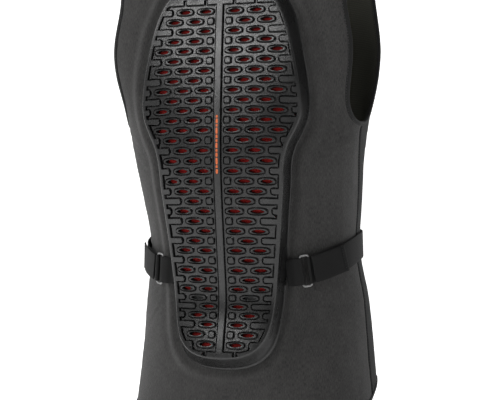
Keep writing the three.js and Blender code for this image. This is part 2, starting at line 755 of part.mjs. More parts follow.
const PULL = { y: SLIDER.top + SLIDER.plate + 1.5, bar: 0.75, arm: 3, length: 34, width: 11 };
const pull = new THREE.Group();
pull.position.y = PULL.y;
slider.add(pull);
add('zip_pull', join(
  new THREE.CylinderGeometry(PULL.bar, PULL.bar, 2 * PULL.arm, 10).rotateZ(Math.PI / 2),
  box(1.3, 1.5, 9.5, PULL.arm - 0.5, 0, -4.2),
  box(1.3, 1.5, 9.5, -PULL.arm + 0.5, 0, -4.2),
  box(PULL.width, 1.5, PULL.length - 8.5, 0, 0, -(PULL.length + 8.5) / 2),
), 'slider', pull);

// ---------------------------------------------------------------- the belt

const beltHeight = (run) => smooth(BELT.rise, run);

// A place on the belt: running length from the spine, height above the vest, distance from its middle line.
function onBelt(run, off, side = 0) {
  const z = beltHeight(run) + side;
  const share = run / outlineAt(z).length;
  return { point: offTorso(share, z, off), normal: normalAt(share, z) };
}

function webbing(route) {
  const half = BELT.thickness / 2;
  return strip(route.map(([run, off]) => onBelt(run, off)), BELT.width, -half, half);
}

const LAY = BELT.wire + 0.4 + BELT.thickness / 2; // from a bar's middle to the webbing's middle
const under = BELT.ringHeight - LAY;
const over = BELT.ringHeight + LAY;
const tabOff = 9.2;

// Sewn beside the plate, round the ring's inner bar and back.
const turnRoute = [-90, -45, 0, 45, 90].map((a) => {
  const angle = a * (Math.PI / 180);
  return [BELT.ringIn + LAY * Math.cos(angle), BELT.ringHeight + LAY * Math.sin(angle)];
});
const loopRoute = [
  [BELT.loopStart, under], [94, under], ...turnRoute, [94, over - 1.2], [BELT.loopStart, under + 2],
];

// The ring's own directions: along the belt, up its bars, and out from the vest.
const buckle = (() => {
  const { point, normal } = onBelt((BELT.ringIn + BELT.ringOut) / 2, BELT.ringHeight);
  const [a, b] = [BELT.ringIn, BELT.ringOut].map((run) => onBelt(run, BELT.ringHeight).point);
  const along = b.sub(a).normalize();
  return { middle: point, along, out: normal, up: normal.clone().cross(along).normalize() };
})();

// The loop's webbing runs square to the ring's bars.
function loopStrip() {
  const points = loopRoute.map(([run, off]) => {
    const point = onBelt(run, off).point;
    return point.addScaledVector(buckle.up, -point.clone().sub(buckle.middle).dot(buckle.up));
  });
  const path = points.map((point, i) => {
    const along = points[Math.min(i + 1, points.length - 1)].clone().sub(points[Math.max(i - 1, 0)]);
    return { point, normal: along.cross(buckle.up).normalize() };
  });
  return strip(path, BELT.width, -BELT.thickness / 2, BELT.thickness / 2);
}
addPair('belt_loop', loopStrip(), 'webbing');

// The rectangular wire ring, swept round its four sides with small rounded corners.
function ringGeometry() {
  const corner = 2.6;
  const u0 = BELT.ringIn;
  const u1 = BELT.ringOut;
  const h = BELT.ringHalfHeight;
  const places = [];
  for (const [cu, cs, from] of [[u1 - corner, h - corner, 0], [u0 + corner, h - corner, 90],
    [u0 + corner, -h + corner, 180], [u1 - corner, -h + corner, 270]]) {
    for (const turn of [0, 45, 90]) {
      const a = (from + turn) * (Math.PI / 180);
      places.push([cu + corner * Math.cos(a), cs + corner * Math.sin(a)]);
    }
  }
  const points = places.map(([run, side]) => buckle.middle.clone()
    .addScaledVector(buckle.along, run - (u0 + u1) / 2).addScaledVector(buckle.up, side));
  const n = points.length;
  const sides = 6;
  const rings = points.map((point, i) => {
    const tangent = points[(i + 1) % n].clone().sub(points[(i + n - 1) % n]).normalize();
    const across = buckle.out.clone().cross(tangent).normalize();
    return steps(sides).slice(0, -1).map((t) => point.clone()
      .addScaledVector(across, BELT.wire * Math.cos(t * 2 * Math.PI))
      .addScaledVector(buckle.out, BELT.wire * Math.sin(t * 2 * Math.PI)));
  });
  return tube(rings, true);
}
addPair('belt_ring', ringGeometry(), 'wire');

addPair('belt_strap', webbing([
  [BELT.strapStart, under], [127, 5.9], [140, 6.1], [152, 6.1], [168, 5.6], [180, 4.4], [194, 3.6],
  [210, BELT.lay], [228, BELT.lay], [246, BELT.lay], [265, BELT.lay], [285, BELT.lay],
  [BELT.strapEnd, BELT.lay],
]), 'webbing');
addPair('belt_tab', webbing([
  [BELT.ringOut - 0.6, over], [118, over - 0.2], [124, 9.8], [134, tabOff], [146, tabOff], [157, tabOff],
  [BELT.tabEnd, tabOff],
]), 'webbing');

const HOOK = { start: 136, end: 162, thickness: 0.7, width: 33 };
addPair('belt_hook', strip(
  [HOOK.start, 145, 153, HOOK.end].map((run) => onBelt(run, tabOff - BELT.thickness / 2 - GAP)),
  HOOK.width,
  -HOOK.thickness,
  0,
), 'hook');
const anchorOff = BELT.lay + BELT.thickness / 2 + GAP;
addPair('belt_anchor', strip(
  [BELT.strapEnd - 26, BELT.strapEnd - 12, BELT.strapEnd + 4].map((run) => onBelt(run, anchorOff)),
  BELT.width + 8,
  0,
  1,
), 'binding');

// ---------------------------------------------------------------- the hanger loop

const HANGER = { halfWidth: 22, stand: 9, height: 8, z: -42, thickness: 1.2, clear: 3.4 };
const hangerBase = LINING_DEPTH - LINING_THICKNESS - HANGER.clear;
const hangerPath = [-1, -0.72, -0.45, 0.45, 0.72, 1].map((t) => {
  const x = Math.abs(t) * HANGER.halfWidth;
  const share = Math.sign(t) * shareAtWidth(HANGER.z, x, false);
  const stand = HANGER.stand * (Math.abs(t) < 0.5 ? 1 : ease((1 - Math.abs(t)) / 0.55));
  const level = levelOf(HANGER.z);
  return { point: offTorso(share, level, hangerBase - stand), normal: normalAt(0, level).negate() };
});
add('hanger_loop', strip(hangerPath, HANGER.height, 0, HANGER.thickness), 'binding');

export default vest;
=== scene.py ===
"""Looks for the protector vest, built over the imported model. Lengths in this file are millimetres
until a mesh is made; the scene itself is in metres, +Z up, the plate towards -Y."""

import json
import math

import bpy
import numpy as np
from mathutils.geometry import delaunay_2d_cdt
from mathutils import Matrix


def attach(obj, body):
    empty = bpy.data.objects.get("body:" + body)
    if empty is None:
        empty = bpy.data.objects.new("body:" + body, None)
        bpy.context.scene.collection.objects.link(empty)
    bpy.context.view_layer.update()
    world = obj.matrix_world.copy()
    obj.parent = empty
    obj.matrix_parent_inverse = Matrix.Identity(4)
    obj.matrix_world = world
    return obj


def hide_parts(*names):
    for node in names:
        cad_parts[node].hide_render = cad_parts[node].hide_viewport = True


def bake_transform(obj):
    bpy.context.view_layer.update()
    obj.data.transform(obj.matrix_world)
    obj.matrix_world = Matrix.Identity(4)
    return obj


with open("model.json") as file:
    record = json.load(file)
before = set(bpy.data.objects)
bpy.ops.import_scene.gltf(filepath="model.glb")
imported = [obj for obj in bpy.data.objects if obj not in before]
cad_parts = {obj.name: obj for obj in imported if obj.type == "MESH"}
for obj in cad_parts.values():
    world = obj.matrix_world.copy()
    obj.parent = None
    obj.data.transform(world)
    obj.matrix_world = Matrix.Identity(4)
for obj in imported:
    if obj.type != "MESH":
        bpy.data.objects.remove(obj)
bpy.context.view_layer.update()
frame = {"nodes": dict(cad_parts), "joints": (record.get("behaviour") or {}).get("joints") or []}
scene = bpy.context.scene
MM = 0.001
VIEW_TURN = math.radians(22)  # how far the camera stands round towards the wearer's right
VIEW_DISTANCE = 2.3
EYE_HEIGHT = -0.382
GROUND = -0.78

# ---------------------------------------------------------------- camera and lights


def add_camera():
    data = bpy.data.cameras.new("camera")
    data.lens = 115.2
    data.sensor_width = 36
    camera = bpy.data.objects.new("camera", data)
    camera.location = (-0.007 + VIEW_DISTANCE * math.sin(VIEW_TURN), -VIEW_DISTANCE * math.cos(VIEW_TURN),
                       EYE_HEIGHT)
    camera.rotation_euler = (math.pi / 2, 0, VIEW_TURN)
    scene.collection.objects.link(camera)
    scene.camera = camera


def add_light(name, place, target, size, power):
    data = bpy.data.lights.new(name, "AREA")
    data.shape = "RECTANGLE"
    data.size, data.size_y = size
    data.energy = power
    light = bpy.data.objects.new(name, data)
    light.location = place
    direction = np.array(target, float) - np.array(place, float)
    x, y, z = direction / np.linalg.norm(direction)
    light.rotation_euler = (math.acos(-z), 0, math.atan2(x, -y) + math.pi)
    scene.collection.objects.link(light)


add_camera()
add_light("key", (-2.4, -1.5, 1.2), (0, 0, -0.35), (1.1, 1.2), 39)
add_light("top", (0.0, -1.1, 1.6), (0, 0, -0.2), (1.8, 0.6), 12)
add_light("front_strip", (-0.9, -2.25, 0.45), (0, 0, -0.3), (0.9, 0.25), 12.5)
add_light("right_fill", (2.6, -0.5, 0.3), (0, 0, -0.4), (0.8, 1.6), 3.5)

# ---------------------------------------------------------------- the torso, as in the CAD part

SECTIONS = np.array([
    [-720, 182, -113, 6, 2.4],
    [-610, 171, -111, 20, 2.38],
    [-524, 163.5, -97, 13, 2.34],
    [-452, 152.8, -103.5, 4, 2.3],
    [-380, 159, -112, -10, 2.4],
    [-322, 166, -116.5, -25, 2.55],
    [-265, 176, -115.5, -29, 2.7],
    [-207, 192, -112.5, -41, 3],
    [-165, 195.5, -109.5, -42, 3.2],
    [-95, 186, -104, -41, 3.2],
])
FRONT_SQUARENESS = 2.2
SHOULDER_BASE = -95
SHOULDER_ROUNDNESS = 1.7
NECK_RING = {"w": 78, "back": -55, "front": 45, "mid": -5, "n": 2.2}
FRONT_TOP_Y = 96
FRONT_LEAN = 26 / 595
PANEL_THICKNESS = 2.5
ARMHOLE = {"y": -38, "z": -158, "half_width": 49, "half_height": 116, "squareness": 2.6}
BINDING_WIDTH = 7
NECK = {"half_width": 68, "front_drop": 98, "back_drop": 22}
HEM = {"front": -636, "drop": 76, "corner_y": 43, "back_y": -113, "width": 4}
SIDE_SEAM_BACK = np.array([[-720, 6], [-550, 5], [-460, 2], [-350, -16], [-281.4, -38], [-34.6, -38]])
SIDE_SEAM_FRONT = np.array(
    [[-720, 66], [-450, 62], [-300, 34], [-225, 13.6], [-180, -8], [-110, -30], [-34.6, -38]])
ARMHOLE_TOP = ARMHOLE["z"] + ARMHOLE["half_height"]


def smooth(rows, key, column=1):
    """A smooth curve through rows of [key, value, ...], read at every key."""
    rows = rows if rows[0, 0] < rows[-1, 0] else rows[::-1]
    k, v = rows[:, 0], rows[:, column]
    slope = np.empty_like(v)
    slope[1:-1] = (v[2:] - v[:-2]) / (k[2:] - k[:-2])
    slope[0] = (v[1] - v[0]) / (k[1] - k[0])
    slope[-1] = (v[-1] - v[-2]) / (k[-1] - k[-2])
    x = np.clip(np.asarray(key, float), k[0], k[-1])
    i = np.clip(np.searchsorted(k, x) - 1, 0, len(k) - 2)
    h = k[i + 1] - k[i]
    t = (x - k[i]) / h
    return ((2 * t**3 - 3 * t**2 + 1) * v[i] + (t**3 - 2 * t**2 + t) * h * slope[i]
            + (3 * t**2 - 2 * t**3) * v[i + 1] + (t**3 - t**2) * h * slope[i + 1])


def section(z):
    """Half width, back, front and widest depth, and squareness of the torso at each height."""
    z = np.asarray(z, float)
    low = np.minimum(z, SHOULDER_BASE)
    made = {k: smooth(SECTIONS, low, i) for i, k in enumerate(("w", "back", "mid", "n"), 1)}
    made["front"] = FRONT_TOP_Y + (SHOULDER_BASE - low) * FRONT_LEAN
    rise = np.clip((z - SHOULDER_BASE) / -SHOULDER_BASE, 0, 1)
    keep = np.maximum(1 - rise**SHOULDER_ROUNDNESS, 0) ** (1 / SHOULDER_ROUNDNESS)
    return {k: NECK_RING[k] * (1 - keep) + v * keep for k, v in made.items()}


def height_of(level):
    level = np.asarray(level, float)
    angle = (1 - np.maximum(level, SHOULDER_BASE) / SHOULDER_BASE) * (math.pi / 2)
    over = SHOULDER_BASE * (1 - np.sin(angle) ** (2 / SHOULDER_ROUNDNESS))
    return np.where(level <= SHOULDER_BASE, level, over)


def level_of(z):
    z = np.asarray(z, float)
    rise = np.clip(1 - np.maximum(z, SHOULDER_BASE) / SHOULDER_BASE, 0, 1)
    angle = np.arcsin(rise ** (SHOULDER_ROUNDNESS / 2))
    return np.where(z <= SHOULDER_BASE, z, SHOULDER_BASE * (1 - angle / (math.pi / 2)))


class Torso:
    """Half of the torso as a table of points over share (0 the back's middle, 1 the front's) and level."""

    def __init__(self):
        self.levels = np.linspace(-722, -0.01, 482)
        self.shares = np.linspace(0, 1, 401)
        z = height_of(self.levels)
        s = section(z)
        t = np.linspace(0, 1, 721)[None, :] * math.pi
        c = np.cos(t)
        n = np.where(c > 0, s["n"][:, None], FRONT_SQUARENESS)
        depth = np.where(c > 0, (s["mid"] - s["back"])[:, None], (s["front"] - s["mid"])[:, None])
        x = s["w"][:, None] * np.clip(np.sin(t), 0, 1) ** (2 / n)
        y = s["mid"][:, None] - np.sign(c) * depth * np.abs(c) ** (2 / n)
        x[:, -1] = 0
        steps = np.hypot(np.diff(x), np.diff(y))
        run = np.concatenate([np.zeros((len(z), 1)), np.cumsum(steps, axis=1)], axis=1)
        self.length = run[:, -1]
        self.points = np.empty((len(z), len(self.shares), 3))
        for i in range(len(z)):
            at = self.shares * self.length[i]
            self.points[i, :, 0] = np.interp(at, run[i], x[i])
            self.points[i, :, 1] = np.interp(at, run[i], y[i])
            self.points[i, :, 2] = z[i]
        along = np.gradient(self.points, axis=1)
        up = np.gradient(self.points, axis=0)
        self.normals = np.cross(along, up)
        self.normals[:, [0, -1], 0] = 0
        self.normals /= np.linalg.norm(self.normals, axis=2, keepdims=True)

    def read(self, table, share, level):
        share, level = np.broadcast_arrays(np.asarray(share, float), np.asarray(level, float))
        a = np.clip(np.abs(share), 0, 1) * (len(self.shares) - 1)
        b = np.interp(level, self.levels, np.arange(len(self.levels)))
        i = np.minimum(a.astype(int), len(self.shares) - 2)
        j = np.minimum(b.astype(int), len(self.levels) - 2)
        a, b = (a - i)[..., None], (b - j)[..., None]
        found = ((table[j, i] * (1 - a) + table[j, i + 1] * a) * (1 - b)
                 + (table[j + 1, i] * (1 - a) + table[j + 1, i + 1] * a) * b)
        found[..., 0] *= np.where(share < 0, -1, 1)
        return found

    def at(self, share, level, off=0.0):
        normal = self.normal(share, level)
        return self.read(self.points, share, level) + normal * np.asarray(off, float)[..., None]

    def normal(self, share, level):
        normal = self.read(self.normals, share, level)
        return normal / np.linalg.norm(normal, axis=-1, keepdims=True)

    def girth(self, z):
        return np.interp(level_of(z), self.levels, self.length)

    def share_at_depth(self, z, y):
        """The share at which the outline at height z passes depth y."""
        z, y = np.broadcast_arrays(np.asarray(z, float), np.asarray(y, float))
        rows = np.interp(level_of(z), self.levels, np.arange(len(self.levels)))
        found = []
        for row, depth in zip(rows.ravel(), y.ravel()):
            j = min(int(row), len(self.levels) - 2)
            t = row - j
            depths = self.points[j, :, 1] * (1 - t) + self.points[j + 1, :, 1] * t
            found.append(np.interp(depth, depths, self.shares))
        return np.array(found).reshape(z.shape)


torso = Torso()


def back_depth(x, z):
    s = section(z)
    reach = np.clip(np.abs(x) / s["w"], 0, 0.999)
    return s["mid"] - (s["mid"] - s["back"]) * (1 - reach ** s["n"]) ** (1 / s["n"])


def over_back(x, z, off):
    """Points at sideways distance x and height z, a distance off the vest's back."""
    x, z, off = np.broadcast_arrays(*(np.asarray(v, float) for v in (x, z, off)))
    d = 0.5
    normal = np.stack([(back_depth(x + d, z) - back_depth(x - d, z)) / (2 * d), -np.ones_like(x),
                       (back_depth(x, z + d) - back_depth(x, z - d)) / (2 * d)], axis=-1)
    normal /= np.linalg.norm(normal, axis=-1, keepdims=True)
    return np.stack([x, back_depth(x, z), z], axis=-1) + normal * off[..., None]


def in_armhole(p, margin):
    a = ARMHOLE
    reach_y = np.abs(p[..., 1] - a["y"]) / (a["half_width"] + margin)
    reach_z = np.abs(p[..., 2] - a["z"]) / (a["half_height"] + margin)
    return (np.abs(p[..., 0]) > 60) & (reach_y ** a["squareness"] + reach_z ** a["squareness"] < 1)


def neck_width(z, front, margin):
    drop = np.where(front, NECK["front_drop"], NECK["back_drop"]) + margin
    return (NECK["half_width"] + margin) * np.sqrt(np.clip(1 - (z / drop) ** 2, 0, 1))


def in_neck(p, margin):
    return np.abs(p[..., 0]) < neck_width(p[..., 2], p[..., 1] > -5, margin)


def hem_height(share):
    y = torso.at(share, -660)[..., 1]
    t = np.clip((HEM["corner_y"] - y) / (HEM["corner_y"] - HEM["back_y"]), 0, 1)
    return HEM["front"] - HEM["drop"] * t * (1.25 - 0.25 * t)


def seam_share(seam, z):
    t = np.clip((z - ARMHOLE_TOP) / -ARMHOLE_TOP, 0, 1)
    depth = np.where(z < ARMHOLE_TOP, smooth(seam, z), -38 + 23 * t)
    return torso.share_at_depth(z, depth)


# ---------------------------------------------------------------- mesh making


def grid_faces(rows, cols, loop_rows=False, loop_cols=False):
    r = np.arange(rows if loop_rows else rows - 1)[:, None]
    c = np.arange(cols if loop_cols else cols - 1)[None, :]
    r1, c1 = (r + 1) % rows, (c + 1) % cols
    return np.stack([r * cols + c, r * cols + c1, r1 * cols + c1, r1 * cols + c], axis=-1).reshape(-1, 4)


def ease(t):
    return t * t * (3 - 2 * t)


def flare(p):
    """Lifts the back's edges at the armholes a little off the torso, as padded fabric stands."""
    x, y, z = p[:, 0], p[:, 1], p[:, 2]
    wide = np.clip((np.abs(x) - 112) / 60, 0, 1)
    behind = np.clip((-y - 15) / 45, 0, 1)
    lift = 6.0 * np.exp(-((z + 130) / 95) ** 2) * ease(wide) * ease(behind)
    outwards = np.stack([0.78 * np.sign(x), np.full(len(x), -0.62), np.zeros(len(x))], axis=-1)
    return p + lift[:, None] * outwards


def make(name, points, faces, uv=None, body="vest", material=None, slot=None, replaces=(), sharp=None):
    """A mesh object from points in millimetres. Faces may be an array or a list of lists."""
    points = np.asarray(points, float).reshape(-1, 3)
    faces = [list(map(int, f)) for f in faces]
    used = np.zeros(len(points), bool)
    for f in faces:
        used[f] = True
    if not used.all():
        remap = np.cumsum(used) - 1
        points = points[used]
        uv = None if uv is None else np.asarray(uv).reshape(-1, 2)[used]
        faces = [[int(remap[i]) for i in f] for f in faces]
    if body:
        points = flare(points)
    mesh = bpy.data.meshes.new(name)
    mesh.from_pydata((points * MM).tolist(), [], faces)
    if uv is not None:
        uv = np.asarray(uv, float).reshape(-1, 2)
        index = np.empty(len(mesh.loops), int)
        mesh.loops.foreach_get("vertex_index", index)
        layer = mesh.uv_layers.new(name="UVMap")
        layer.data.foreach_set("uv", (uv[index] * MM).ravel())
    mesh.polygons.foreach_set("use_smooth", np.ones(len(mesh.polygons), bool))
    if sharp:
        mesh.set_sharp_from_angle(angle=math.radians(sharp))
    mesh.validate()
    obj = bpy.data.objects.new(name, mesh)
    scene.collection.objects.link(obj)
    if material:
        mesh.materials.append(material)
    if replaces:
        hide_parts(*replaces)
    if body:
        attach(obj, body)
    return obj


def solidify(obj, thickness, offset=-1):
    modifier = obj.modifiers.new("thickness", "SOLIDIFY")
    modifier.thickness = thickness * MM
    modifier.offset = offset
    modifier.use_even_offset = False


def unit(v):
    return v / np.maximum(np.linalg.norm(v, axis=-1, keepdims=True), 1e-9)


def lengths(path):
    """How far along a path each of its points is."""
    return np.concatenate([[0], np.cumsum(np.linalg.norm(np.diff(path, axis=0), axis=1))])


def squared_circle(count, squareness):
    """A ring of cosines and sines, bent towards a square as squareness rises above 2."""
    t = np.arange(count) / count * 2 * math.pi
    return (np.sign(v) * np.abs(v) ** (2 / squareness) for v in (np.cos(t), np.sin(t)))


def sweep(path, normals, profile, closed=False):
    """Carries a closed profile of [across, out] along a path. Returns points, faces and UVs."""
    path, normals, profile = (np.asarray(v, float) for v in (path, normals, profile))
    if closed:
        along = np.roll(path, -1, 0) - np.roll(path, 1, 0)
    else:
        along = np.gradient(path, axis=0)
    along = unit(along)
    across = unit(np.cross(normals, along))
    out = unit(np.cross(along, across))
    points = (path[:, None, :] + across[:, None, :] * profile[None, :, 0, None]
              + out[:, None, :] * profile[None, :, 1, None])
    n, k = points.shape[:2]
    faces = grid_faces(n, k, loop_rows=closed, loop_cols=True).tolist()
    if not closed:
        faces += [list(range(k))[::-1], [(n - 1) * k + i for i in range(k)]]
    uv = np.stack(np.broadcast_arrays(lengths(profile)[None, :], lengths(path)[:, None]), axis=-1)
    return points, faces, uv


def band(width, low, high, corner=0.6, across=10):
    """A flat webbing's profile with rounded edges, anticlockwise."""
    x = np.linspace(-width / 2 + corner, width / 2 - corner, across)
    middle = (low + high) / 2
    inset = corner * 0.3
    right = [[width / 2 - inset, low + inset], [width / 2, middle], [width / 2 - inset, high - inset]]
    left = [[-a, b] for a, b in right[::-1]]
    return np.array([[v, low] for v in x] + right + [[v, high] for v in x[::-1]] + left)


def rounded(width, low, high, count=20, squareness=3.0):
    c, s = squared_circle(count, squareness)
    return np.stack([c * width / 2, (low + high) / 2 + s * (high - low) / 2], axis=-1)


def dense(path, step):
    """The path resampled to even steps, with its normals carried along."""
    points, normals = (np.asarray(v, float) for v in path)
    run = lengths(points)
    at = np.linspace(0, run[-1], max(int(run[-1] / step), 2))
    pick = lambda v: np.stack([np.interp(at, run, v[:, k]) for k in range(3)], axis=-1)
    return pick(points), unit(pick(normals))


def wave(p, sizes, seed):
    """A smooth repeatable unevenness between about -1 and 1 with features of the given sizes."""
    rng = np.random.default_rng(seed)
    total = np.zeros(p.shape[:-1])
    for size in sizes:
        for _ in range(4):
            direction = rng.normal(size=3)
            direction /= np.linalg.norm(direction)
            turns = 2 * math.pi / (size * rng.uniform(0.7, 1.4))
            total += np.sin(p @ direction * turns + rng.uniform(0, 6.3))
    return total / (4 * len(sizes)) * 1.6

# ---------------------------------------------------------------- materials


class Nodes:
    """A material with a Principled shader, and short ways to add and join nodes."""

    def __init__(self, name, roughness, metallic=0.0, specular=0.5, sheen=0.0):
        self.material = bpy.data.materials.new(name)
        self.material.use_nodes = True
        self.tree = self.material.node_tree
        self.shader = self.tree.nodes["Principled BSDF"]
        self.shader.inputs["Roughness"].default_value = roughness
        self.shader.inputs["Metallic"].default_value = metallic
        self.shader.inputs["Specular IOR Level"].default_value = specular
        if sheen:
            self.shader.inputs["Sheen Weight"].default_value = sheen
            self.shader.inputs["Sheen Roughness"].default_value = 0.5

    def add(self, kind, links=None, **settings):
        node = self.tree.nodes.new(kind)
        for key, value in settings.items():
            if key in node.inputs:
                node.inputs[key].default_value = value
            else:
                setattr(node, key, value)
        for key, value in (links or {}).items():
            self.tree.links.new(value, node.inputs[key])
        return node

    def uv(self, x, y):
        """The UV map, in metres, scaled to repeat every x and y millimetres."""
        coordinates = self.add("ShaderNodeTexCoord").outputs["UV"]
        node = self.add("ShaderNodeMapping", {"Vector": coordinates})
        node.inputs["Scale"].default_value = (1000 / x, 1000 / y, 1)
        return node.outputs["Vector"]

    def place(self, x, y, z):
        coordinates = self.add("ShaderNodeTexCoord").outputs["Object"]
        node = self.add("ShaderNodeMapping", {"Vector": coordinates})
        node.inputs["Scale"].default_value = (1000 / x, 1000 / y, 1000 / z)
        return node.outputs["Vector"]

    def noise(self, vector, detail=2.0, roughness=0.5):
        node = self.add("ShaderNodeTexNoise", {"Vector": vector}, Scale=1.0, Detail=detail)
        node.inputs["Roughness"].default_value = roughness
        return node.outputs["Fac"]

    def wave(self, vector, axis="X", distortion=0.0):
        return self.add("ShaderNodeTexWave", {"Vector": vector}, bands_direction=axis, Scale=0.314,
                        Distortion=distortion).outputs["Fac"]

    def math(self, operation, a, b):
        node = self.add("ShaderNodeMath", operation=operation)
        for socket, value in zip(node.inputs, (a, b)):
            if isinstance(value, (int, float)):
                socket.default_value = value
            else:
                self.tree.links.new(value, socket)
        return node.outputs[0]

    def ramp(self, factor, *stops):
        node = self.add("ShaderNodeValToRGB", {"Fac": factor})
        ramp = node.color_ramp
        while len(ramp.elements) < len(stops):
            ramp.elements.new(0.5)
        for element, (place, color) in zip(ramp.elements, stops):
            element.position = place
            element.color = (*color, 1)
        return node.outputs["Color"]

    def mix(self, factor, a, b):
        node = self.add("ShaderNodeMix", data_type="RGBA")
        for index, value in ((0, factor), (6, a), (7, b)):
            if isinstance(value, (int, float, tuple)):
                node.inputs[index].default_value = (*value, 1) if isinstance(value, tuple) else value
            else:
                self.tree.links.new(value, node.inputs[index])
        return node.outputs[2]

    def color(self, value):
        self.tree.links.new(value, self.shader.inputs["Base Color"])
        return self

    def roughness(self, value):
        self.tree.links.new(value, self.shader.inputs["Roughness"])
        return self

    def bump(self, height, distance, strength=1.0):
        """Bump from a height of 0 to 1, where 1 stands that many millimetres proud."""
        node = self.add("ShaderNodeBump", {"Height": height}, Strength=strength, Distance=distance * MM)
        self.tree.links.new(node.outputs["Normal"], self.shader.inputs["Normal"])
        return self


def grey(v, warm=0.0):
    return (v * (1 + warm), v, v * (1 - warm))


def knit(name, dark, light, wale=1.15, course=1.6, mottle=0.5):
    """A mottled knit: upright ribs of small loops, with yarns of two tones."""
    n = Nodes(name, 0.93, specular=0.25, sheen=0.12)
    ribs = n.wave(n.uv(wale, wale))
    loops = n.wave(n.uv(course, course), "Y", 1.5)
    yarn = n.noise(n.uv(1.2, 5.0), 3, 0.7)
    cloud = n.noise(n.uv(9, 26), 3, 0.6)
    large = n.noise(n.uv(70, 90), 2)
    tone = n.math("ADD", n.math("MULTIPLY", yarn, 0.78), n.math("MULTIPLY", cloud, 0.22))
    tone = n.math("ADD", tone, n.math("MULTIPLY", n.math("SUBTRACT", large, 0.5), 0.16))
    spread = 0.22 * mottle + 0.04
    base = n.ramp(tone, (0.5 - spread, dark), (0.5 + spread, light))
    groove = n.math("MULTIPLY", ribs, n.math("ADD", n.math("MULTIPLY", loops, 0.5), 0.5))
    # The low places between the loops are painted darker: painted shade in the knit's hollows.
    n.color(n.mix(n.math("MULTIPLY", n.math("SUBTRACT", 1.0, groove), 0.35), base, grey(0.012)))
    height = n.math("ADD", n.math("MULTIPLY", groove, 0.7), n.math("MULTIPLY", yarn, 0.5))
    return n.bump(height, 0.35, 0.8).material


def woven(name, tone, warp=1.1, weft=1.5, rough=0.75, sheen=0.1, specular=0.35):
    """A woven tape: ribs across it, crossed by fine threads."""
    n = Nodes(name, rough, specular=specular, sheen=sheen)
    ribs = n.wave(n.uv(weft, weft), "Y")
    threads = n.wave(n.uv(warp, warp), "X")
    fibre = n.noise(n.uv(0.6, 3.2), 3, 0.6)
    crossed = n.math("MULTIPLY", n.math("MULTIPLY", ribs, threads), 0.8)
    height = n.math("ADD", crossed, n.math("MULTIPLY", fibre, 0.35))
    # The raised crossings are painted lighter and the hollows darker: painted light and shade on the weave.
    low, high = grey(tone * 0.45), grey(tone * 1.5)
    base = n.ramp(height, (0.1, low), (0.95, high))
    worn = n.noise(n.uv(14, 30), 3, 0.6)
    n.color(n.mix(n.math("MULTIPLY", worn, 0.3), base, grey(tone * 1.8)))
    return n.bump(height, 0.3, 0.8).material


def net(name, thread, gap, cell=2.4, rough=0.85):
    """A knitted net: threads round small staggered holes."""
    n = Nodes(name, rough, specular=0.3)
    voronoi = n.add("ShaderNodeTexVoronoi", {"Vector": n.uv(cell, cell)}, feature="DISTANCE_TO_EDGE",
                    Scale=1.0, Randomness=0.25)
    edge = voronoi.outputs["Distance"]
    fibre = n.noise(n.uv(0.7, 1.6), 3)
    base = n.ramp(edge, (0.08, thread), (0.3, gap))
    n.color(n.mix(n.math("MULTIPLY", fibre, 0.35), base, tuple(c * 0.5 for c in thread)))
    return n.bump(n.math("SUBTRACT", 1.0, edge), 0.5, 0.9).material


def rubber(name, tone, rough=0.46, warm=0.0, grain=0.6, specular=0.5):
    """Moulded foam rubber: a satin skin with a fine grain, paler on its sharp edges, partly as wear and
    partly as a painted highlight where the edges catch the light.
    """
    n = Nodes(name, rough, specular=specular)
    fine = n.noise(n.place(grain, grain, grain), 3, 0.6)
    patchy = n.noise(n.place(38, 38, 60), 4, 0.6)
    base = n.ramp(patchy, (0.3, grey(tone * 0.75, warm)), (0.75, grey(tone * 1.25, warm)))
    pointed = n.add("ShaderNodeNewGeometry").outputs["Pointiness"]
    # Sharp edges found by pointiness are painted paler: partly wear, partly a painted highlight along the
    # edges.
    rubbed_and_highlit = n.ramp(pointed, (0.52, grey(0.0)), (0.6, grey(1.0)))
    n.color(n.mix(n.math("MULTIPLY", rubbed_and_highlit, 0.45), base, grey(tone * 4.5, warm)))
    n.roughness(n.math("ADD", n.math("MULTIPLY", patchy, 0.16), rough - 0.08))
    return n.bump(fine, 0.12, 0.6).material


def metal(name, tone, rough=0.32):
    """Black coated wire and die-cast metal, with paler scuffed patches in the coat."""
    n = Nodes(name, rough, metallic=0.75)
    scuff = n.noise(n.place(1.5, 6, 6), 4, 0.7)
    base = n.ramp(scuff, (0.35, grey(tone)), (0.7, grey(tone * 2.2)))
    n.color(base)
    n.roughness(n.math("ADD", n.math("MULTIPLY", scuff, 0.25), rough - 0.1))
    return n.bump(scuff, 0.05, 0.4).material


def printed(name, color):
    n = Nodes(name, 0.5)
    flaw = n.noise(n.place(1.4, 1.4, 2.2), 4, 0.7)
    n.color(n.ramp(flaw, (0.3, tuple(c * 0.7 for c in color)), (0.6, color)))
    return n.bump(flaw, 0.08, 0.5).material


def loops_of_hook(name, tone):
    n = Nodes(name, 0.85, specular=0.3)
    voronoi = n.add("ShaderNodeTexVoronoi", {"Vector": n.uv(0.9, 0.9)}, Scale=1.0, Randomness=0.2)
    dots = voronoi.outputs["Distance"]
    # The tops of the loops are painted lighter and the spaces between them darker: painted light and shade.
    n.color(n.ramp(dots, (0.1, grey(tone * 2)), (0.7, grey(tone * 0.5))))
    return n.bump(n.math("SUBTRACT", 1.0, dots), 0.6).material


